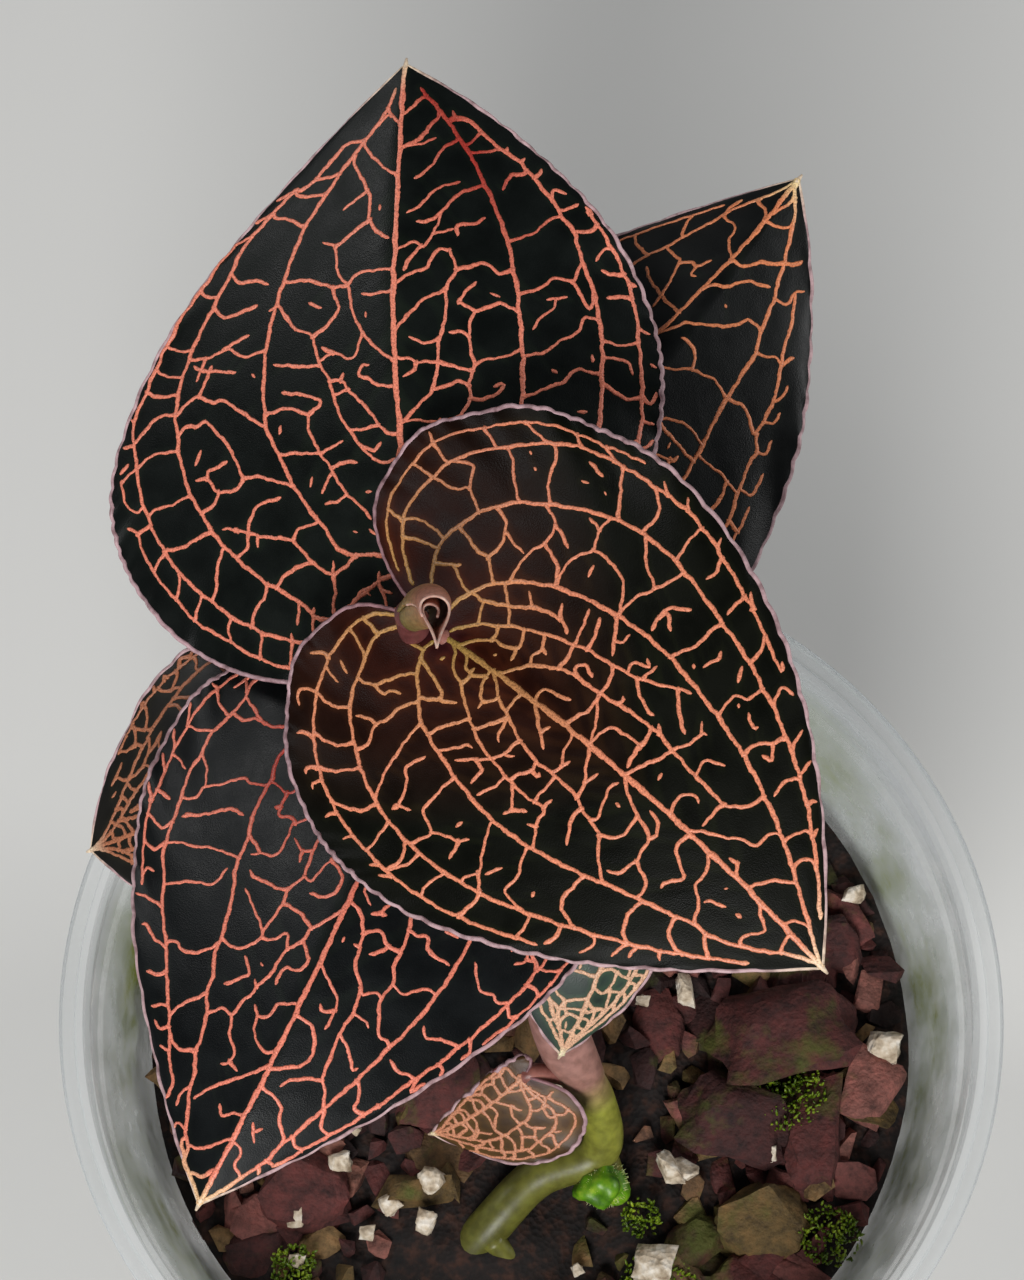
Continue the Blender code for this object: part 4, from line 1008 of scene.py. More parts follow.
def petiole_path(blade):
    """The stalk from the stem to the underside of the blade, and then along under the midrib."""
    leaf = blade.leaf
    upright = smooth_path(STEM_PATH[3:], 8)
    start = min(upright, key=lambda p: abs(p.z - leaf.petiole_from * MM))
    base = Vector(blade.place(0.0, 0.0))
    ahead = (Vector(blade.place(0.06, 0.0)) - base).normalized()
    end = base - 0.25 * MM * Vector(leaf.facing).normalized() + 0.5 * MM * ahead
    reach = (end - start).length
    first = start + 0.4 * reach * UP
    second = end - leaf.arrival * reach * ahead - 0.3 * reach * UP * (1 - leaf.arrival)
    path = []
    for i in range(16):
        u = i / 16
        near = (1 - u) ** 3 * start + 3 * (1 - u) ** 2 * u * first
        path.append(near + (3 * (1 - u) * u**2 * second + u**3 * end))
    radii = [PETIOLE_RADIUS * (1.25 - 0.25 * min(1, i / 6)) for i in range(16)]
    for i in range(21):
        share = i / 20
        radius = PETIOLE_RADIUS + (KEEL_RADIUS - PETIOLE_RADIUS) * share**0.6
        s = np.array([0.01 + KEEL_REACH * share])
        path.append(Vector(blade.place(s, 0.0)[0] - blade.normal(s, 0.0)[0] * (radius - 0.05 * MM)))
        radii.append(radius)
    return path, radii


def vein_material(leaf):
    """Leaf vein of a jewel orchid: raised and unpigmented, with glints painted along its cells. Its colour
    runs from the petiole to a cream tip, and some stretches are painted dark crimson as shade."""
    material, tree, shader, place = start_material(f"vein_tissue_{leaf.name}", Roughness=0.42, IOR=1.45)
    along = add_node(tree, "ShaderNodeAttribute", attribute_name="tipward")
    red = add_node(tree, "ShaderNodeAttribute", attribute_name="red")
    base, middle, tip = leaf.vein_hues
    stops = ((0.02, base), (0.42, middle), (0.94, middle), (0.99, tip))
    hue = add_node(tree, "ShaderNodeValToRGB", {"Fac": along}, stops)
    # Painted shade: the colour turns dark crimson as far as the painted shade weight reaches.
    shaded_hue = add_node(tree, "ShaderNodeMix", {0: red, MIX_A: hue, MIX_B: linear("A03026")}, **BLEND)
    # The grain varies the vein's colour: part of it is the cells' uneven tone, and its lighter specks are
    # painted glints.
    grain = add_node(tree, "ShaderNodeTexNoise", {"Vector": place, "Scale": 5200.0, "Detail": 2.0})
    colour = mottled(tree, shaded_hue, grain, ((0.34, (0.62, 0.58, 0.56)), (0.5, 1), (0.72, (1.35, 1.35, 1.3))))
    bump = add_node(tree, "ShaderNodeBump", {"Height": grain, "Strength": 0.5, "Distance": 0.03 * MM})
    wire(tree, shader, Base_Color=colour, Normal=bump)
    return material


def blade_material(leaf):
    """Upper skin of the leaf: nearly black green, with a velvet of tiny domed cells that glint."""
    name = f"leaf_skin_{leaf.name}"
    material, tree, shader, place = start_material(name, IOR=1.42, Specular_IOR_Level=leaf.gloss)
    along = add_node(tree, "ShaderNodeAttribute", attribute_name="tipward")
    gap = add_node(tree, "ShaderNodeAttribute", attribute_name="vein_gap")
    base, far = leaf.blade_hues
    stops = ((0.02, "2E1014"), (0.1, base), (0.55, far))
    hue = add_node(tree, "ShaderNodeValToRGB", {"Fac": along}, stops)
    tinted = mottled(tree, hue, gap, ((0.2, (1.9, 2.0, 1.5)), (0.8, 1)))
    cells = add_node(tree, "ShaderNodeTexVoronoi", {"Vector": place, "Scale": 6500.0})
    patch = add_node(tree, "ShaderNodeTexNoise", {"Vector": place, "Scale": 220.0, "Detail": 3.0})
    colour = mottled(tree, tinted, patch, ((0.35, 0.75), (0.65, 1.3)))
    rough = add_node(
        tree,
        "ShaderNodeMapRange",
        {"Value": patch, "From Min": 0.3, "From Max": 0.7, "To Min": 0.34, "To Max": 0.48},
    )
    bump = add_node(tree, "ShaderNodeBump", {"Height": cells, "Strength": 0.35, "Distance": 0.05 * MM})
    wire(tree, shader, Base_Color=colour, Roughness=rough, Normal=bump)
    return material


def underside_material(leaf):
    """Lower skin: matt maroon, with the veins showing through as paler lines."""
    name = f"leaf_underside_{leaf.name}"
    material, tree, shader, place = start_material(name, Roughness=0.5, IOR=1.42)
    gap = add_node(tree, "ShaderNodeAttribute", attribute_name="vein_gap")
    hue = add_node(tree, "ShaderNodeValToRGB", {"Fac": gap}, ((0.15, "8A4A48"), (0.45, "4A1C22")))
    cells = add_node(tree, "ShaderNodeTexNoise", {"Vector": place, "Scale": 3000.0, "Detail": 2.0})
    bump = add_node(tree, "ShaderNodeBump", {"Height": cells, "Strength": 0.3, "Distance": 0.05 * MM})
    wire(tree, shader, Base_Color=hue, Normal=bump)
    return material


def margin_material(leaf):
    """The thickened edge of the leaf: a pale mauve line that turns cream at the tip."""
    name = f"leaf_margin_{leaf.name}"
    material, tree, shader, place = start_material(name, Roughness=0.45, IOR=1.45)
    along = add_node(tree, "ShaderNodeAttribute", attribute_name="tipward")
    stops = ((0.0, "7A4A4E"), (0.3, "B29096"), (0.97, "BC9C9E"), (1.0, "E6D0B2"))
    hue = add_node(tree, "ShaderNodeValToRGB", {"Fac": along}, stops)
    blotch = add_node(tree, "ShaderNodeTexNoise", {"Vector": place, "Scale": 900.0, "Detail": 3.0})
    wire(tree, shader, Base_Color=mottled(tree, hue, blotch, ((0.35, (0.55, 0.5, 0.5)), (0.6, 1.1))))
    return material


def spread_stops(codes):
    """Hex colours set evenly over the middle of a ramp, where noise has its values."""
    return [(0.3 + 0.4 * i / (len(codes) - 1), code) for i, code in enumerate(codes)]


def stalk_material(name, codes, scale):
    """Fleshy stalk: waxy skin with long faint streaks and small freckles."""
    material, tree, shader, place = start_material(
        name, Roughness=0.38, IOR=1.45, Subsurface_Weight=0.15, Subsurface_Radius=(0.002, 0.0008, 0.0006)
    )
    blotch = add_node(tree, "ShaderNodeTexNoise", {"Vector": place, "Scale": scale, "Detail": 4.0})
    hue = add_node(tree, "ShaderNodeValToRGB", {"Fac": blotch}, spread_stops(codes))
    skin = add_node(tree, "ShaderNodeTexNoise", {"Vector": place, "Scale": 2500.0, "Detail": 3.0})
    bump = add_node(tree, "ShaderNodeBump", {"Height": skin, "Strength": 0.3, "Distance": 0.06 * MM})
    wire(tree, shader, Base_Color=hue, Normal=bump)
    return material


class LeafSettings(bpy.types.PropertyGroup):
    vein_height: FloatProperty(
        name="Vein height",
        description="How far a vein stands above the blade",
        default=0.09 * MM,
        unit="LENGTH",
        precision=5,
    )
    swelling: FloatProperty(
        name="Swelling",
        description="How far the blade rises between the veins",
        default=0.06 * MM,
        unit="LENGTH",
        precision=5,
    )


class OBJECT_OT_orchid_leaves(bpy.types.Operator):
    """Build the seven net-veined leaves"""

    bl_idname = "object.orchid_leaves"
    bl_label = "Leaves"

    def execute(self, context):
        stalk = stalk_material("petiole_flesh", ("6A3A34", "A0685C", "B98A74"), 300.0)
        for leaf in LEAVES:
            self.make_leaf(leaf, context.scene.orchid_leaf, stalk)
        return {"FINISHED"}

    def make_leaf(self, leaf, settings, stalk):
        blade = Blade(leaf)
        net = Net(blade, settings)
        net.grow()
        shape = Shape("tipward", "vein_gap")
        points, (upper, lower, rim), values = blade_grid(blade, net, settings)
        shape.add(points, upper + lower + rim, 0, **values)
        shape.slots = [0] * len(upper) + [1] * (len(lower) + len(rim))
        s = np.linspace(0, 1, 2 * leaf.rows)
        for side in (-1.0, 1.0):
            path = [Vector(p) for p in blade.place(s, side)]
            radii = [EDGE_RADIUS * (0.75 + 0.25 * math.sin(math.pi * share)) for share in s]
            tube_points, tube_faces = tube(path, radii, 6)
            tipward = np.concatenate([[0], np.repeat(s, 6), [1]])
            shape.add(tube_points, tube_faces, 2, tipward=tipward)
        self.add_point(shape, blade)
        materials = [blade_material(leaf), underside_material(leaf), margin_material(leaf)]
        settle(shape.build(f"{leaf.name}_blade", materials), "leaf", leaf.name)
        ribs = Shape("tipward", "red")
        net.ribbons(ribs)
        settle(ribs.build(f"{leaf.name}_veins", [vein_material(leaf)]), "leaf")
        path, radii = petiole_path(blade)
        stem_piece = Shape()
        stem_piece.add(*tube(path, radii, 14))
        settle(stem_piece.build(f"{leaf.name}_petiole", [stalk]), "leaf")

    def add_point(self, shape, blade):
        """The small pale point that ends the blade."""
        tip = Vector(blade.place(1.0, 0.0))
        ahead = (tip - Vector(blade.place(0.97, 0.0))).normalized()
        path = [tip + ahead * k * 0.3 * MM for k in range(-5, 4)]
        radii = [0.36 * MM * (1 - abs(k + 1) / 5.5) ** 0.8 for k in range(-5, 4)]
        points, faces = tube(path, radii, 8)
        shape.add(points, faces, 2, tipward=1.0)


def inner_radius(height):
    outside = FOOT_RADIUS + (NECK_RADIUS - FOOT_RADIUS) * height / SHOULDER_HEIGHT
    return outside - POT_WALL


def mix_height(x, y):
    """The lie of the mix: a rough heap, a little higher in the middle."""
    rough = noise.noise(Vector((x, y, 0)) / (14 * MM)) + 0.5 * noise.noise(Vector((x, y, 3)) / (6 * MM))
    dome = 1 - (math.hypot(x, y) / inner_radius(MIX_TOP)) ** 2
    return MIX_TOP + MIX_ROUGHNESS * rough + 1.5 * MM * dome


class PotSettings(bpy.types.PropertyGroup):
    segments: IntProperty(name="Segments", description="Sides of the turned pot", default=144, min=24)
    tint: FloatVectorProperty(
        name="Plastic",
        description="Tint of the clear plastic",
        subtype="COLOR",
        size=4,
        default=linear("D6DEE2"),
    )


def pot_material(settings):
    """Clear polypropylene, injection moulded: it lets light through, goes milky where it is seen edge on, and
    wears an olive film of algae inside, above and along the mix."""
    material, tree, shader, place = start_material("clear_polypropylene", Roughness=0.16, IOR=1.49)
    level = add_node(tree, "ShaderNodeSeparateXYZ", {"Vector": place})
    height = add_node(tree, "ShaderNodeValToRGB", {"Fac": level}, ALGAE_HEIGHTS)
    film = add_node(
        tree,
        "ShaderNodeTexNoise",
        {"Vector": place, "Scale": 55.0, "Detail": 6.0, "Roughness": 0.65},
    )
    patches = add_node(tree, "ShaderNodeValToRGB", {"Fac": film}, ((0.36, 0.1), (0.64, 1)))
    algae = add_node(tree, "ShaderNodeMath", {0: height, 1: patches}, operation="MULTIPLY")
    inputs = {0: algae, MIX_A: tuple(settings.tint), MIX_B: linear("747E1A")}
    hue = add_node(tree, "ShaderNodeMix", inputs, **BLEND)
    facing = add_node(tree, "ShaderNodeLayerWeight", {"Blend": 0.35})
    clear = add_node(
        tree,
        "ShaderNodeMapRange",
        {"Value": facing, "From Min": 0.2, "From Max": 0.95, "To Min": 0.10, "To Max": 0.62},
    )
    dense = add_node(tree, "ShaderNodeMath", {0: algae, 1: 0.6}, operation="MULTIPLY")
    alpha = add_node(tree, "ShaderNodeMath", {0: clear, 1: dense}, operation="ADD", use_clamp=True)
    wire(tree, shader, Base_Color=hue, Alpha=alpha)
    return material


def pot_profile():
    """The wall's section, from the middle of the base outwards, over the lip and down the inside."""
    floor = BASE_RECESS + POT_WALL
    collar = NECK_RADIUS + COLLAR_STEP
    step_top = SHOULDER_HEIGHT + COLLAR_STEP
    groove = RIM_RADIUS - LIP_ROLL
    under = POT_HEIGHT - 0.5 * LIP_ROLL - POT_WALL
    foot = FOOT_RADIUS - 0.8 * MM
    return [
        (0, 0),
        (PAD_RADIUS, 0),
        (PAD_RADIUS + BASE_RECESS, BASE_RECESS),
        (foot - FOOT_WIDTH, BASE_RECESS),
        (foot - FOOT_WIDTH + BASE_RECESS, 0),
        (foot, 0),
        (FOOT_RADIUS + 0.1 * MM, 1.2 * MM),
        (NECK_RADIUS, SHOULDER_HEIGHT),
        (collar, step_top),
        (collar, under),
        (groove, under),
        (groove + 0.4 * MM, POT_HEIGHT - LIP_DROP),
        (RIM_RADIUS, POT_HEIGHT - LIP_DROP),
        (RIM_RADIUS, POT_HEIGHT - 0.5 * LIP_ROLL),
        (RIM_RADIUS - 0.28 * LIP_ROLL, POT_HEIGHT - 0.1 * LIP_ROLL),
        (RIM_RADIUS - 0.55 * LIP_ROLL, POT_HEIGHT),
        (groove, POT_HEIGHT - 0.5 * LIP_ROLL),
        (collar + 0.2 * MM, POT_HEIGHT - 0.2 * LIP_ROLL),
        (collar - POT_WALL, POT_HEIGHT - 0.5 * LIP_ROLL),
        (collar - POT_WALL, step_top + 0.4 * MM),
        (NECK_RADIUS - POT_WALL, SHOULDER_HEIGHT),
        (inner_radius(floor + 1.5 * MM), floor + 1.5 * MM),
        (inner_radius(0) - 1.5 * MM, floor),
        (0, floor),
    ]


def deselect_all():
    bpy.ops.object.select_all(action="DESELECT")


def apply_modifier(obj, kind, **settings):
    """Adds a modifier with these settings and applies it."""
    modifier = obj.modifiers.new(kind.lower(), kind)
    for name, value in settings.items():
        setattr(modifier, name, value)
    deselect_all()
    bpy.context.view_layer.objects.active = obj
    obj.select_set(True)
    bpy.ops.object.modifier_apply(modifier=modifier.name)


class OBJECT_OT_orchid_pot(bpy.types.Operator):
    """Turn the clear pot and drill its drain holes"""

    bl_idname = "object.orchid_pot"
    bl_label = "Pot"

    def execute(self, context):
        settings = context.scene.orchid_pot
        mesh = bpy.data.meshes.new("pot_shell")
        profile = pot_profile()
        edges = [(i, i + 1) for i in range(len(profile) - 1)]
        mesh.from_pydata([(r, 0, h) for r, h in profile], edges, [])
        pot = bpy.data.objects.new("pot_shell", mesh)
        context.scene.collection.objects.link(pot)
        apply_modifier(
            pot,
            "SCREW",
            steps=settings.segments,
            render_steps=settings.segments,
            use_merge_vertices=True,
            merge_threshold=0.00001,
        )
        deselect_all()
        bpy.context.view_layer.objects.active = pot
        pot.select_set(True)
        bpy.ops.object.mode_set(mode="EDIT")
        bpy.ops.mesh.select_all(action="SELECT")
        bpy.ops.mesh.normals_make_consistent(inside=False)
        bpy.ops.object.mode_set(mode="OBJECT")
        for number in range(DRAIN_HOLES):
            self.drill(pot, 2 * math.pi * (number + 0.3) / DRAIN_HOLES)
        edges = {"limit_method": "ANGLE", "angle_limit": math.radians(35)}
        apply_modifier(pot, "BEVEL", width=0.22 * MM, segments=2, **edges)
        pot.data.materials.clear()
        pot.data.materials.append(pot_material(settings))
        deselect_all()
        pot.select_set(True)
        bpy.ops.object.shade_smooth_by_angle(angle=math.radians(40))
        settle(pot, "clear_plastic", "pot")
        return {"FINISHED"}

    def drill(self, pot, turn):
        """Cuts one round hole through the base."""
        deselect_all()
        place = (DRAIN_CIRCLE * math.cos(turn), DRAIN_CIRCLE * math.sin(turn), 0)
        bpy.ops.mesh.primitive_cylinder_add(vertices=24, radius=DRAIN_RADIUS, depth=12 * MM, location=place)
        cutter = bpy.context.object
        apply_modifier(pot, "BOOLEAN", operation="DIFFERENCE", object=cutter, solver="EXACT")
        bpy.data.objects.remove(cutter)


class MixSettings(bpy.types.PropertyGroup):
    wall_chips: IntProperty(
        name="Wall chips", description="Chips that press against the pot", default=520, min=0
    )
    top_chips: IntProperty(name="Top chips", description="Chips strewn over the top", default=460, min=0)


# The pumice grains that show most: x, y and size in millimetres.
PUMICE = [
    (18.1, -17.4, 5.2),
    (45.8, -2, 5),
    (20.7, 5.9, 5),
    (-12.8, -19.3, 4),
    (-13.4, -24.4, 3.5),
    (-24.3, -16.8, 3.5),
    (15.6, -30, 6.5),
    (-49, 6, 5),
]

# Tufts of moss: x, y and spread in millimetres, and shoots.
MOSS_TUFTS = [(33, -8, 5, 420), (16, -33, 5, 340), (14, -24, 2.5, 150), (-30, -30, 3, 180), (38, -26, 4, 240)]

# The largest chips: x, y and length in millimetres, width for length, turn in degrees, and tint.
BIG_CHIPS = [
    (43.0, 23.0, 21, 0.50, 80, 0.75),
    (32.5, -0.2, 22, 0.70, 10, 0.35),
    (26.3, -11.0, 17, 0.75, -20, 0.20),
    (29.0, -25.0, 16, 0.70, 30, 0.92),
    (44.0, -15.5, 20, 0.40, 85, 0.45),
    (-12.9, -6.5, 14, 0.90, 0, 0.40),
    (-46.0, -6.0, 10, 0.80, 40, 1.00),
    (34.0, 33.0, 17, 0.65, -50, 0.60),
    (14.0, 31.0, 18, 0.70, 15, 0.30),
    (-29.0, -21.0, 15, 0.80, 60, 0.50),
    (-29.0, 12.0, 17, 0.70, 110, 0.35),
    (9.0, -38.0, 14, 0.75, 10, 0.90),
    (-10.0, -42.0, 13, 0.80, 70, 0.30),
    (33.0, -37.0, 13, 0.70, -35, 0.55),
    (1.0, 15.0, 17, 0.80, 45, 0.45),
    (-15.0, 36.0, 16, 0.65, -20, 0.70),
    (-38.0, 26.0, 14, 0.70, 30, 0.25),
    (19.0, 13.0, 14, 0.70, 75, 0.65),
    (-44.0, 8.0, 12, 0.60, 95, 0.55),
    (18.0, -44.0, 11, 0.80, 5, 0.40),
]


def bark_material():
    """Graded fir bark: fibrous, matt, maroon brown, with pinkish broken faces and moss in damp places."""
    material, tree, shader, place = start_material("fir_bark", Roughness=0.82)
    tint = add_node(tree, "ShaderNodeAttribute", attribute_name="tint")
    hue = add_node(tree, "ShaderNodeValToRGB", {"Fac": tint}, BARK_HUES)
    blotch = add_node(
        tree,
        "ShaderNodeTexNoise",
        {"Vector": place, "Scale": 420.0, "Detail": 6.0, "Roughness": 0.7},
    )
    worn = mottled(tree, hue, blotch, ((0.32, (0.3, 0.28, 0.27)), (0.5, 1), (0.7, (1.7, 1.5, 1.5))))
    damp = add_node(
        tree,
        "ShaderNodeTexNoise",
        {"Vector": place, "Scale": 95.0, "Detail": 5.0, "Roughness": 0.6},
    )
    moss = add_node(tree, "ShaderNodeValToRGB", {"Fac": damp}, ((0.54, 0), (0.66, 0.8)))
    colour = add_node(tree, "ShaderNodeMix", {0: moss, MIX_A: worn, MIX_B: linear("4A5212")}, **BLEND)
    fibre = add_node(tree, "ShaderNodeTexNoise", {"Vector": place, "Scale": 1500.0, "Detail": 5.0})
    bump = add_node(tree, "ShaderNodeBump", {"Height": fibre, "Strength": 0.7, "Distance": 0.5 * MM})
    wire(tree, shader, Base_Color=colour, Normal=bump)
    return material


def grit_material(name, codes, scale):
    """Loose mineral or peat: matt and pitted, in the colours given from dark to light."""
    material, tree, shader, place = start_material(name, Roughness=0.9)
    blotch = add_node(tree, "ShaderNodeTexNoise", {"Vector": place, "Scale": scale, "Detail": 5.0})
    hue = add_node(tree, "ShaderNodeValToRGB", {"Fac": blotch}, spread_stops(codes))
    pits = add_node(tree, "ShaderNodeTexVoronoi", {"Vector": place, "Scale": 1400.0})
    bump = add_node(tree, "ShaderNodeBump", {"Height": pits, "Strength": 0.6, "Distance": 0.4 * MM})
    wire(tree, shader, Base_Color=hue, Normal=bump)
    return material


def broken_chip(seed, corners, cuts=0):
    """Points and faces of one chip of unit size: the hull of scattered corners, with a rough skin when it
    is cut finer."""
    rng = random.Random(seed)
    work = bmesh.new()
    for _ in range(corners):
        away = Vector((rng.gauss(0, 1), rng.gauss(0, 1), rng.gauss(0, 1))).normalized()
        square = Vector([math.copysign(abs(c) ** 0.65, c) for c in away])
        work.verts.new(square * 0.5 * rng.uniform(0.8, 1))
    bmesh.ops.convex_hull(work, input=work.verts[:])
    bmesh.ops.delete(work, geom=[v for v in work.verts if not v.link_faces], context="VERTS")
    if cuts:
        bmesh.ops.subdivide_edges(work, edges=work.edges[:], cuts=cuts, use_grid_fill=True)
        bmesh.ops.triangulate(work, faces=work.faces[:])
        shift = Vector((seed, 0, 0))
        for vertex in work.verts:
            p = vertex.co
            layers = noise.noise(Vector((2.5 * p.x, 4 * p.y, 14 * p.z)) + shift)
            vertex.co = p * (1 + 0.16 * noise.noise(3.5 * p + shift) + 0.10 * layers)
    bmesh.ops.recalc_face_normals(work, faces=work.faces[:])
    work.verts.index_update()
    points = np.array([v.co[:] for v in work.verts])
    faces = [tuple(v.index for v in f.verts) for f in work.faces]
    work.free()
    return points, faces


def strew(shape, template, place, size, shape_of, turn, **values):
    """Adds a copy of the chip at its place, size and turn."""
    points, faces = template
    own = points * np.array(shape_of) * size
    shape.add(own @ np.array(turn).T + np.array(place), faces, **values)


def keep_inside(place, reach):
    """Moves a chip in from the wall so that all of it is inside the pot."""
    limit = inner_radius(min(max(place.z - reach, 0), SHOULDER_HEIGHT)) - 2 * GAP - reach
    out = math.hypot(place.x, place.y)
    if out > limit:
        place.x *= limit / out
        place.y *= limit / out
    return place


def random_turn(rng):
    turn = Matrix.Rotation(rng.uniform(0, 2 * math.pi), 3, "Z")
    return turn @ Matrix.Rotation(rng.uniform(-0.5, 0.5), 3, "X")


def off_the_stem(x, y, radius):
    """Whether a chip here stays off the creeping stem and the roots."""
    low = smooth_path(STEM_PATH[:5], 4) + [p for path in ROOT_PATHS for p in path[:3]]
    return all(math.hypot(p.x - x, p.y - y) > radius + RHIZOME_RADIUS for p in low)


class OBJECT_OT_orchid_mix(bpy.types.Operator):
    """Fill the pot with bark, pumice, peat and moss"""

    bl_idname = "object.orchid_mix"
    bl_label = "Bark mix"

    def execute(self, context):
        settings = context.scene.orchid_mix
        rng = random.Random(5)
        self.make_peat()
        fine = [broken_chip(seed, 22, 4) for seed in range(6)]
        middling = [broken_chip(seed, 18, 2) for seed in range(10, 16)]
        plain = [broken_chip(seed, 14) for seed in range(20, 28)]
        bark = Shape("tint")
        for x, y, length, wide, turn, tint in BIG_CHIPS:
            reach = length * MM * 0.5
            place = Vector((x * MM, y * MM, mix_height(x * MM, y * MM) + 0.06 * length * MM))
            lean = Matrix.Rotation(rng.uniform(-0.25, 0.25), 3, "X")
            tilt = Matrix.Rotation(math.radians(turn), 3, "Z") @ lean
            place = keep_inside(place, reach * 1.05)
            strew(bark, rng.choice(fine), place, length * MM, (1.0, wide, 0.45), tilt, tint=tint)
        golden = math.pi * (3 - math.sqrt(5))
        edge = inner_radius(MIX_TOP) - 3.5 * MM
        for i in range(settings.top_chips):
            out = edge * math.sqrt((i + 0.5) / settings.top_chips)
            large = i % 5 == 0
            length = (rng.uniform(8, 12) if large else rng.uniform(3.5, 8)) * MM
            x, y = out * math.cos(i * golden), out * math.sin(i * golden)
            if not off_the_stem(x, y, length * 0.45):
                continue
            place = Vector((x, y, mix_height(x, y) + rng.uniform(-0.20, 0.02) * length))
            shape_of = (1.0, rng.uniform(0.55, 0.9), rng.uniform(0.35, 0.6))
            place = keep_inside(place, 0.5 * length)
            kind = rng.choice(middling if large else plain)
            strew(bark, kind, place, length, shape_of, random_turn(rng), tint=rng.random())
        wall = Shape("tint")
        for i in range(settings.wall_chips):
            height = 4 * MM + (MIX_TOP - 7 * MM) * ((i + 0.5) / settings.wall_chips)
            turn = i * golden + rng.uniform(-0.2, 0.2)
            length = rng.uniform(6, 12) * MM
            thick = rng.uniform(0.34, 0.46)
            height = max(height, BASE_RECESS + POT_WALL + GAP + 0.62 * length)
            out = inner_radius(height - 0.4 * length) - 2 * GAP - 0.5 * thick * length
            place = Vector((out * math.cos(turn), out * math.sin(turn), height))
            flat = Matrix.Rotation(turn, 3, "Z") @ Matrix.Rotation(math.pi / 2, 3, "Y")
            flat = flat @ Matrix.Rotation(rng.uniform(0, math.pi), 3, "Z")
            shape_of = (1.0, rng.uniform(0.6, 0.85), thick)
            strew(wall, rng.choice(plain), place, length, shape_of, flat, tint=rng.random())
        bark_look = bark_material()
        top_piece = bark.build("bark_chips_top", [bark_look])
        wall_piece = wall.build("bark_chips_wall", [bark_look])
        for piece in (top_piece, wall_piece):
            deselect_all()
            piece.select_set(True)
            bpy.ops.object.shade_smooth_by_angle(angle=math.radians(32))
        settle(top_piece, "bark_mix", "bark_mix")
        settle(wall_piece, "bark_mix")
        self.make_pumice(rng, middling)
        self.make_moss(rng)
        return {"FINISHED"}

    def make_peat(self):
        """The dark crumb that fills the gaps: a closed heap just under the chips."""
        shape = Shape()
        sides, rings = 96, 40
        floor = BASE_RECESS + POT_WALL + GAP
        points = [(0, 0, floor)]
        levels = [floor + (MIX_TOP - 4 * MM - floor) * k / 15 for k in range(16)]
        for number, level in enumerate(levels):
            inset = 2.5 * MM if number == 0 else 1.6 * MM
            for k in range(sides):
                turn = 2 * math.pi * k / sides
                out = inner_radius(level) - GAP - inset
                rough = noise.noise(Vector((turn * 6, level / (4 * MM), 0)))
                out -= 0.6 * MM * (0.5 + 0.5 * rough)
                points.append((out * math.cos(turn), out * math.sin(turn), level))
        edge = inner_radius(MIX_TOP) - GAP - 1.8 * MM
        for step in range(rings):
            out = edge * (1 - step / rings)
            for k in range(sides):
                turn = 2 * math.pi * k / sides
                x, y = out * math.cos(turn), out * math.sin(turn)
                crumb = noise.noise(Vector((x, y, 9)) / (1.5 * MM))
                points.append((x, y, mix_height(x, y) - 1.0 * MM + 0.5 * MM * crumb))
        points.append((0, 0, mix_height(0, 0) - 1.0 * MM))
        shape.add(points, closed_faces(len(levels) + rings, sides))
        look = grit_material("peat_crumb", ("0A0605", "1A0F0B", "3A2116"), 600.0)
        settle(shape.build("peat_heap", [look]), "bark_mix")

    def make_pumice(self, rng, templates):
        """Pale pumice and perlite lying among the bark."""
        shape = Shape()
        grains = list(PUMICE)
        for _ in range(40):
            turn, out = rng.uniform(0, 2 * math.pi), 48 * math.sqrt(rng.random())
            grains.append((out * math.cos(turn), out * math.sin(turn), rng.uniform(1.8, 4.2)))
        for x, y, size in grains:
            if not off_the_stem(x * MM, y * MM, size * 0.45 * MM):
                continue
            place = Vector((x * MM, y * MM, mix_height(x * MM, y * MM) + 0.35 * size * MM + 0.6 * MM))
            place = keep_inside(place, 0.55 * size * MM)
            shape_of = (1, rng.uniform(0.75, 0.95), rng.uniform(0.7, 0.9))
            strew(shape, rng.choice(templates), place, size * MM, shape_of, random_turn(rng))
        for i in range(46):
            height = rng.uniform(8, 60) * MM
            turn = rng.uniform(0, 2 * math.pi)
            size = rng.uniform(2.5, 4.5) * MM
            out = inner_radius(height - size * 0.5) - 2 * GAP - 0.5 * size
            place = (out * math.cos(turn), out * math.sin(turn), height)
            strew(shape, rng.choice(templates), place, size, (0.9, 0.9, 0.9), random_turn(rng))
        look = grit_material("pumice_grains", ("8E7A62", "CDBCA4", "EFE6D8"), 700.0)
        settle(shape.build("pumice_grains", [look]), "bark_mix")

    def make_moss(self, rng):
        """Tufts of moss on the damp bark: many short, tapering shoots."""
        shape = Shape()
        for x, y, spread, count in MOSS_TUFTS:
            for _ in range(count):
                turn, out = rng.uniform(0, 2 * math.pi), spread * MM * math.sqrt(rng.random())
                px, py = x * MM + out * math.cos(turn), y * MM + out * math.sin(turn)
                foot = Vector((px, py, mix_height(px, py) + rng.uniform(0.5, 2.2) * MM))
                lean = Vector((rng.gauss(0, 0.5), rng.gauss(0, 0.5), 1)).normalized()
                length = rng.uniform(0.5, 1.2) * MM
                path = [foot, foot + lean * length * 0.5, foot + lean * length]
                shape.add(*tube(path, [0.16 * MM, 0.22 * MM, 0.06 * MM], 4))
        look = stalk_material("moss_shoots", ("33460A", "5C7410", "93A62C"), 500.0)
        settle(shape.build("moss_tufts", [look]), "bark_mix")


class StemSettings(bpy.types.PropertyGroup):
    sides: IntProperty(name="Sides", description="Sides of the stem and of the roots", default=24, min=6)


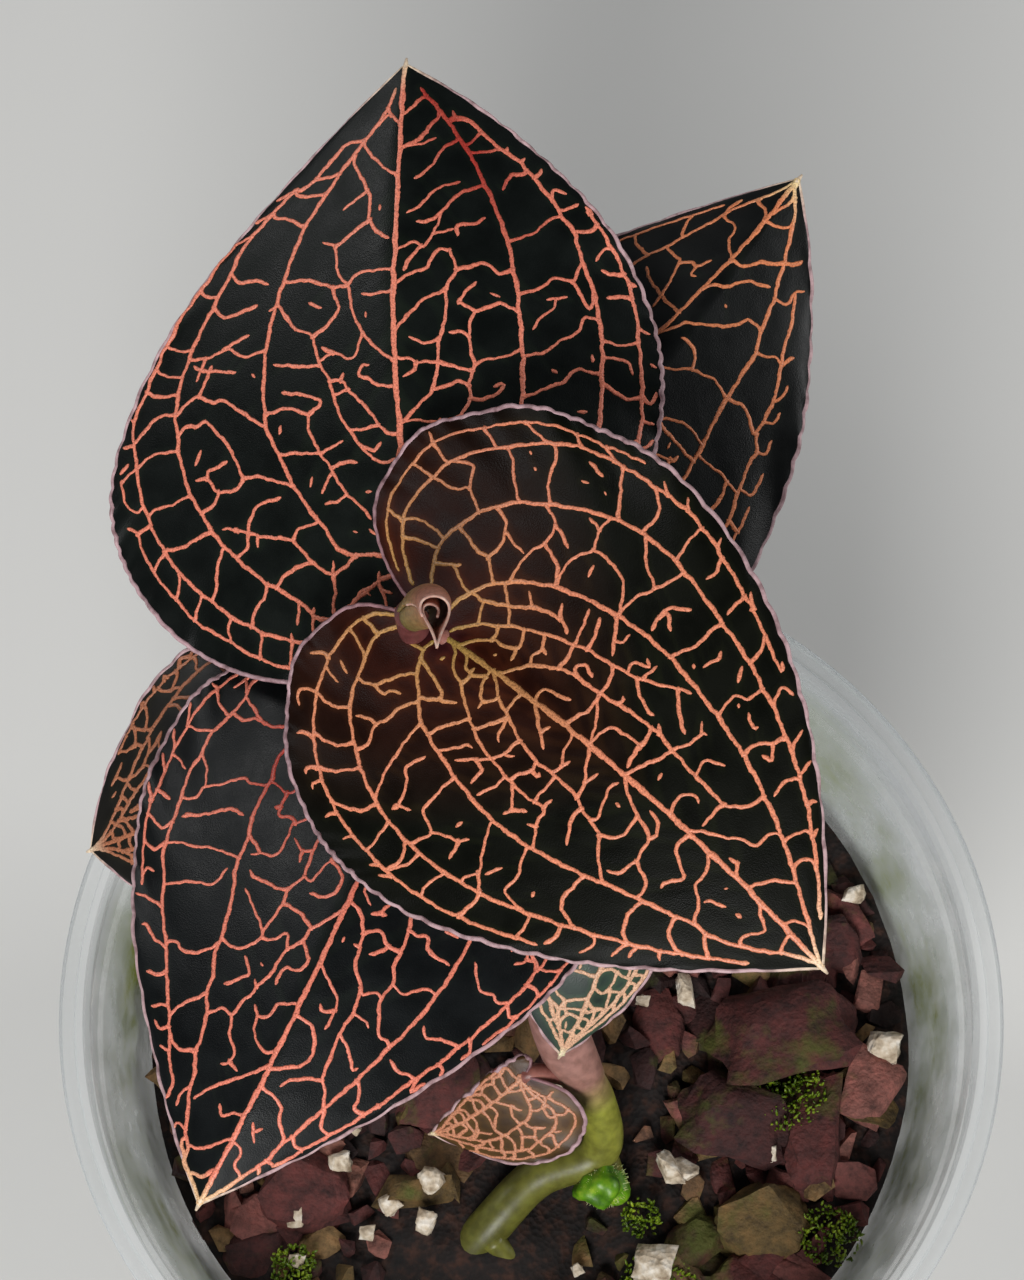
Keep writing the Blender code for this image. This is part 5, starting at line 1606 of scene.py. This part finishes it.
def stem_radius(share):
    """The bare stem, thicker where it creeps, with each leaf's sheath swelling and then ending in a step."""
    bare = RHIZOME_RADIUS + (STEM_RADIUS - RHIZOME_RADIUS) * min(1, share / NODE_SHARES[0])
    if share < NODE_SHARES[0]:
        return bare
    start = max(n for n in NODE_SHARES if n <= share)
    end = min((n for n in NODE_SHARES if n > share), default=1.0)
    swell = (share - start) / (end - start)
    if start == NODE_SHARES[-1]:
        return bare * (1 - 0.30 * swell)
    return bare + (SHEATH_RADIUS - STEM_RADIUS) * math.sin(math.pi * swell) ** 0.7


def stem_material():
    """Fleshy stem under papery sheaths: mauve pink above, olive and bright green where it creeps. Its top is
    darkened to a dark maroon as painted shade under the leaves.
    """
    material, tree, shader, place = start_material(
        "stem_flesh",
        Roughness=0.4,
        IOR=1.45,
        Subsurface_Weight=0.12,
        Subsurface_Radius=(0.002, 0.0009, 0.0007),
    )
    along = add_node(tree, "ShaderNodeAttribute", attribute_name="along")
    hue = add_node(tree, "ShaderNodeValToRGB", {"Fac": along}, STEM_HUES_AND_SHADE)
    streak = add_node(tree, "ShaderNodeTexNoise", {"Vector": place, "Scale": 700.0, "Detail": 4.0})
    colour = mottled(tree, hue, streak, ((0.35, (0.7, 0.68, 0.66)), (0.65, 1.15)))
    bump = add_node(tree, "ShaderNodeBump", {"Height": streak, "Strength": 0.3, "Distance": 0.15 * MM})
    wire(tree, shader, Base_Color=colour, Normal=bump)
    return material


class OBJECT_OT_orchid_stem(bpy.types.Operator):
    """Build the stem, its sheaths, roots and root hairs"""

    bl_idname = "object.orchid_stem"
    bl_label = "Stem and roots"

    def execute(self, context):
        sides = context.scene.orchid_stem.sides
        path = smooth_path(STEM_PATH, 14)
        shares = share_along(path)
        shape = Shape("along")
        points, faces = tube(path, [stem_radius(s) for s in shares], sides)
        along = np.concatenate([[0], np.repeat(shares, sides), [1]])
        shape.add(points, faces, along=along)
        for root in ROOT_PATHS:
            course = smooth_path(root, 10)
            thin = [ROOT_RADIUS * (1 - 0.5 * s) for s in share_along(course)]
            shape.add(*tube(course, thin, sides), along=0.2)
        settle(shape.build("stem_and_roots", [stem_material()]), "stem", "stem")
        self.make_bud()
        return {"FINISHED"}

    def make_bud(self):
        """A round green bud low on the stem, covered with fine hairs."""
        centre, radius = BUD_PLACE, BUD_RADIUS
        deselect_all()
        bpy.ops.mesh.primitive_uv_sphere_add(segments=32, ring_count=20, radius=radius, location=centre)
        bud = bpy.context.object
        bud.name = "green_bud"
        bpy.ops.object.transform_apply(location=True, rotation=True, scale=True)
        for vertex in bud.data.vertices:
            vertex.co += (vertex.co - centre) * 0.55 * noise.noise(vertex.co / (2.2 * MM))
        bud.data.shade_smooth()
        bud.data.materials.append(stalk_material("green_bud_skin", ("2E5A0C", "5F8F14", "A2BE38"), 420.0))
        settle(bud, "stem")
        hairs = Shape()
        rng = random.Random(3)
        for _ in range(BUD_HAIRS):
            away = Vector((rng.gauss(0, 1), rng.gauss(0, 1), rng.gauss(0.2, 1))).normalized()
            root = centre + away * radius * 0.96
            bent = Vector((rng.gauss(0, 1), rng.gauss(0, 1), rng.gauss(0, 1))) * 0.12 * MM
            length = rng.uniform(0.2, 0.45) * MM
            path = [root, root + away * length * 0.5 + bent * 0.4, root + away * length + bent]
            shape_points, shape_faces = tube(path, [0.05 * MM, 0.04 * MM, 0.02 * MM], 3)
            hairs.add(shape_points, shape_faces)
        look = stalk_material("root_hair", ("8FA04A", "C8CF8A", "E6E2B8"), 900.0)
        settle(hairs.build("bud_hairs", [look]), "stem")


class YoungLeafSettings(bpy.types.PropertyGroup):
    wraps: FloatProperty(
        name="Wraps", description="How many times the young leaf is rolled", default=1.5, min=1.0
    )


class OBJECT_OT_orchid_young_leaf(bpy.types.Operator):
    """Roll the young leaf and its pale edge"""

    bl_idname = "object.orchid_young_leaf"
    bl_label = "Young leaf"

    def execute(self, context):
        axis = ROLL_MOUTH - ROLL_BASE
        turn = axes_of(axis, Vector((0, -1, 0)))
        length = axis.length
        wraps = context.scene.orchid_young_leaf.wraps
        rows, columns = 40, 72
        sheet = np.zeros((rows + 1, columns + 1, 3))
        for i in range(rows + 1):
            v = i / rows
            size = np.interp(v, [0, 0.25, 0.5, 0.75, 1.0], [0.80, 0.98, 1.0, 0.98, 0.98])
            for k in range(columns + 1):
                u = k / columns
                angle = 2 * math.pi * wraps * (u - 0.5)
                front = 0.5 + 0.5 * math.cos(angle)
                top = length + ROLL_POINT * (front**2) * 0.97
                wound = 1.35 * (u - 0.5) if u > 0.5 else 0.12 * (0.5 - u)
                radius = (ROLL_RADIUS - 0.1 * MM) * size * (1 - wound)
                radius += 0.9 * MM * v**3 * front**9
                top -= 1.0 * MM * max(0, 2 * u - 1)
                keel = abs(math.sin(0.5 * angle)) ** (1.3 * v * v)
                own = Vector((v * top, radius * math.sin(angle) * keel, radius * math.cos(angle)))
                sheet[i, k] = ROLL_BASE + turn @ own + ROLL_BOW * math.sin(math.pi * v)
        mesh_points = sheet.reshape(-1, 3)
        faces = []
        for i in range(rows):
            for k in range(columns):
                a = i * (columns + 1) + k
                faces.append((a, a + columns + 1, a + columns + 2, a + 1))
        shape = Shape("tipward")
        tipward = np.repeat(np.arange(rows + 1) / rows, columns + 1)
        shape.add(mesh_points, faces, tipward=tipward)
        look = self.roll_material()
        roll = shape.build("young_leaf_roll", [look])
        apply_modifier(roll, "SOLIDIFY", thickness=0.28 * MM, offset=0.0)
        roll.data.shade_smooth()
        settle(roll, "young_leaf", "young_leaf")
        edge = Shape("tipward")
        rim = [Vector(p) for p in sheet[rows]]
        edge.add(*tube(rim, [0.14 * MM] * len(rim), 8), tipward=1.0)
        for column in (0, columns):
            side = [Vector(p) for p in sheet[rows // 3 :, column]]
            edge.add(*tube(side, [0.16 * MM] * len(side), 8), tipward=0.9)
        rim_look = stalk_material("young_leaf_edge", ("A87E74", "C89E8E", "D8B8A6"), 900.0)
        settle(edge.build("young_leaf_edge", [rim_look]), "young_leaf")
        return {"FINISHED"}

    def roll_material(self):
        """A leaf that has not yet opened: thin, pinkish tan, and darker towards its foot."""
        material, tree, shader, place = start_material(
            "young_leaf_skin",
            Roughness=0.42,
            IOR=1.42,
            Subsurface_Weight=0.2,
            Subsurface_Radius=(0.0015, 0.0006, 0.0005),
        )
        along = add_node(tree, "ShaderNodeAttribute", attribute_name="tipward")
        stops = ((0.0, "6E6236"), (0.4, "8A6A44"), (0.75, "A06A54"), (1.0, "BE8876"))
        hue = add_node(tree, "ShaderNodeValToRGB", {"Fac": along}, stops)
        grain = add_node(tree, "ShaderNodeTexNoise", {"Vector": place, "Scale": 1800.0, "Detail": 3.0})
        wire(tree, shader, Base_Color=mottled(tree, hue, grain, ((0.35, 0.7), (0.65, 1.2))))
        return material


class StageSettings(bpy.types.PropertyGroup):
    floor_colour: FloatVectorProperty(
        name="Floor", description="Colour of the floor", subtype="COLOR", size=4, default=linear("D9D8D4")
    )
    key_power: FloatProperty(
        name="Key light", description="Power of the main soft light", default=8.0, unit="POWER"
    )


CAMERA_PLACE = Vector((-2.39, -79.08, 456.59)) * MM
CAMERA_TILT = math.radians(19)
CAMERA_ANGLE = math.radians(24)


class OBJECT_OT_orchid_stage(bpy.types.Operator):
    """Set the floor, the soft lights and the camera"""

    bl_idname = "object.orchid_stage"
    bl_label = "Stage"

    def execute(self, context):
        settings = context.scene.orchid_stage
        deselect_all()
        bpy.ops.mesh.primitive_plane_add(size=6.0, location=(0, 0, 0))
        floor = context.object
        floor.name = "floor"
        material, tree, shader, place = start_material("matt_floor", Roughness=0.8)
        grain = add_node(tree, "ShaderNodeTexNoise", {"Vector": place, "Scale": 9.0, "Detail": 3.0})
        inputs = {0: grain, MIX_A: tuple(settings.floor_colour), MIX_B: linear("D2D1CE")}
        wire(tree, shader, Base_Color=add_node(tree, "ShaderNodeMix", inputs, **BLEND))
        floor.data.materials.append(material)
        world = bpy.data.worlds.new("studio")
        context.scene.world = world
        world.use_nodes = True
        world.node_tree.nodes["Background"].inputs["Color"].default_value = linear("C8CED6")
        world.node_tree.nodes["Background"].inputs["Strength"].default_value = 0.20
        self.add_light("front", (-0.14, -0.72, 0.66), 0.40, settings.key_power)
        self.add_light("right", (0.86, 0.20, 0.52), 0.40, settings.key_power * 0.45)
        self.add_light("sheen", (-0.62, 0.42, 0.70), 0.22, settings.key_power * 0.28)
        context.scene.view_settings.view_transform = "Standard"
        camera = bpy.data.cameras.new("camera")
        camera.sensor_fit = "VERTICAL"
        camera.angle_y = CAMERA_ANGLE
        camera.clip_start = 0.01
        viewer = bpy.data.objects.new("camera", camera)
        viewer.location = CAMERA_PLACE
        viewer.rotation_euler = (CAMERA_TILT, 0, 0)
        context.scene.collection.objects.link(viewer)
        context.scene.camera = viewer
        return {"FINISHED"}

    def add_light(self, name, place, size, power):
        """A square soft light that looks at the plant."""
        lamp = bpy.data.lights.new(name, "AREA")
        lamp.size = size
        lamp.energy = power
        obj = bpy.data.objects.new(name, lamp)
        obj.location = place
        aim = Vector((0, 0, 0.12)) - Vector(place)
        obj.rotation_euler = aim.to_track_quat("-Z", "Y").to_euler()
        bpy.context.scene.collection.objects.link(obj)


STEPS = (
    OBJECT_OT_orchid_pot,
    OBJECT_OT_orchid_mix,
    OBJECT_OT_orchid_stem,
    OBJECT_OT_orchid_young_leaf,
    OBJECT_OT_orchid_leaves,
    OBJECT_OT_orchid_stage,
)
GROUPS = {
    "orchid_pot": PotSettings,
    "orchid_mix": MixSettings,
    "orchid_stem": StemSettings,
    "orchid_young_leaf": YoungLeafSettings,
    "orchid_leaf": LeafSettings,
    "orchid_stage": StageSettings,
}


class VIEW3D_PT_orchid(bpy.types.Panel):
    """Lists the steps and their sizes and colours"""

    bl_label = "Jewel Orchid"
    bl_space_type = "VIEW_3D"
    bl_region_type = "UI"
    bl_category = "Orchid"

    def draw(self, context):
        for step, group in zip(STEPS, GROUPS):
            box = self.layout.box()
            box.operator(step.bl_idname)
            settings = getattr(context.scene, group)
            for name in GROUPS[group].__annotations__:
                box.prop(settings, name)


def register():
    for group in GROUPS.values():
        bpy.utils.register_class(group)
    for step in (*STEPS, VIEW3D_PT_orchid):
        bpy.utils.register_class(step)
    for name, group in GROUPS.items():
        setattr(bpy.types.Scene, name, PointerProperty(type=group))


def unregister():
    for name in GROUPS:
        delattr(bpy.types.Scene, name)
    for step in (VIEW3D_PT_orchid, *reversed(STEPS)):
        bpy.utils.unregister_class(step)
    for group in GROUPS.values():
        bpy.utils.unregister_class(group)


def main():
    register()
    bpy.ops.object.orchid_pot()
    bpy.ops.object.orchid_mix()
    bpy.ops.object.orchid_stem()
    bpy.ops.object.orchid_young_leaf()
    bpy.ops.object.orchid_leaves()
    bpy.ops.object.orchid_stage()


if __name__ == "__main__":
    main()
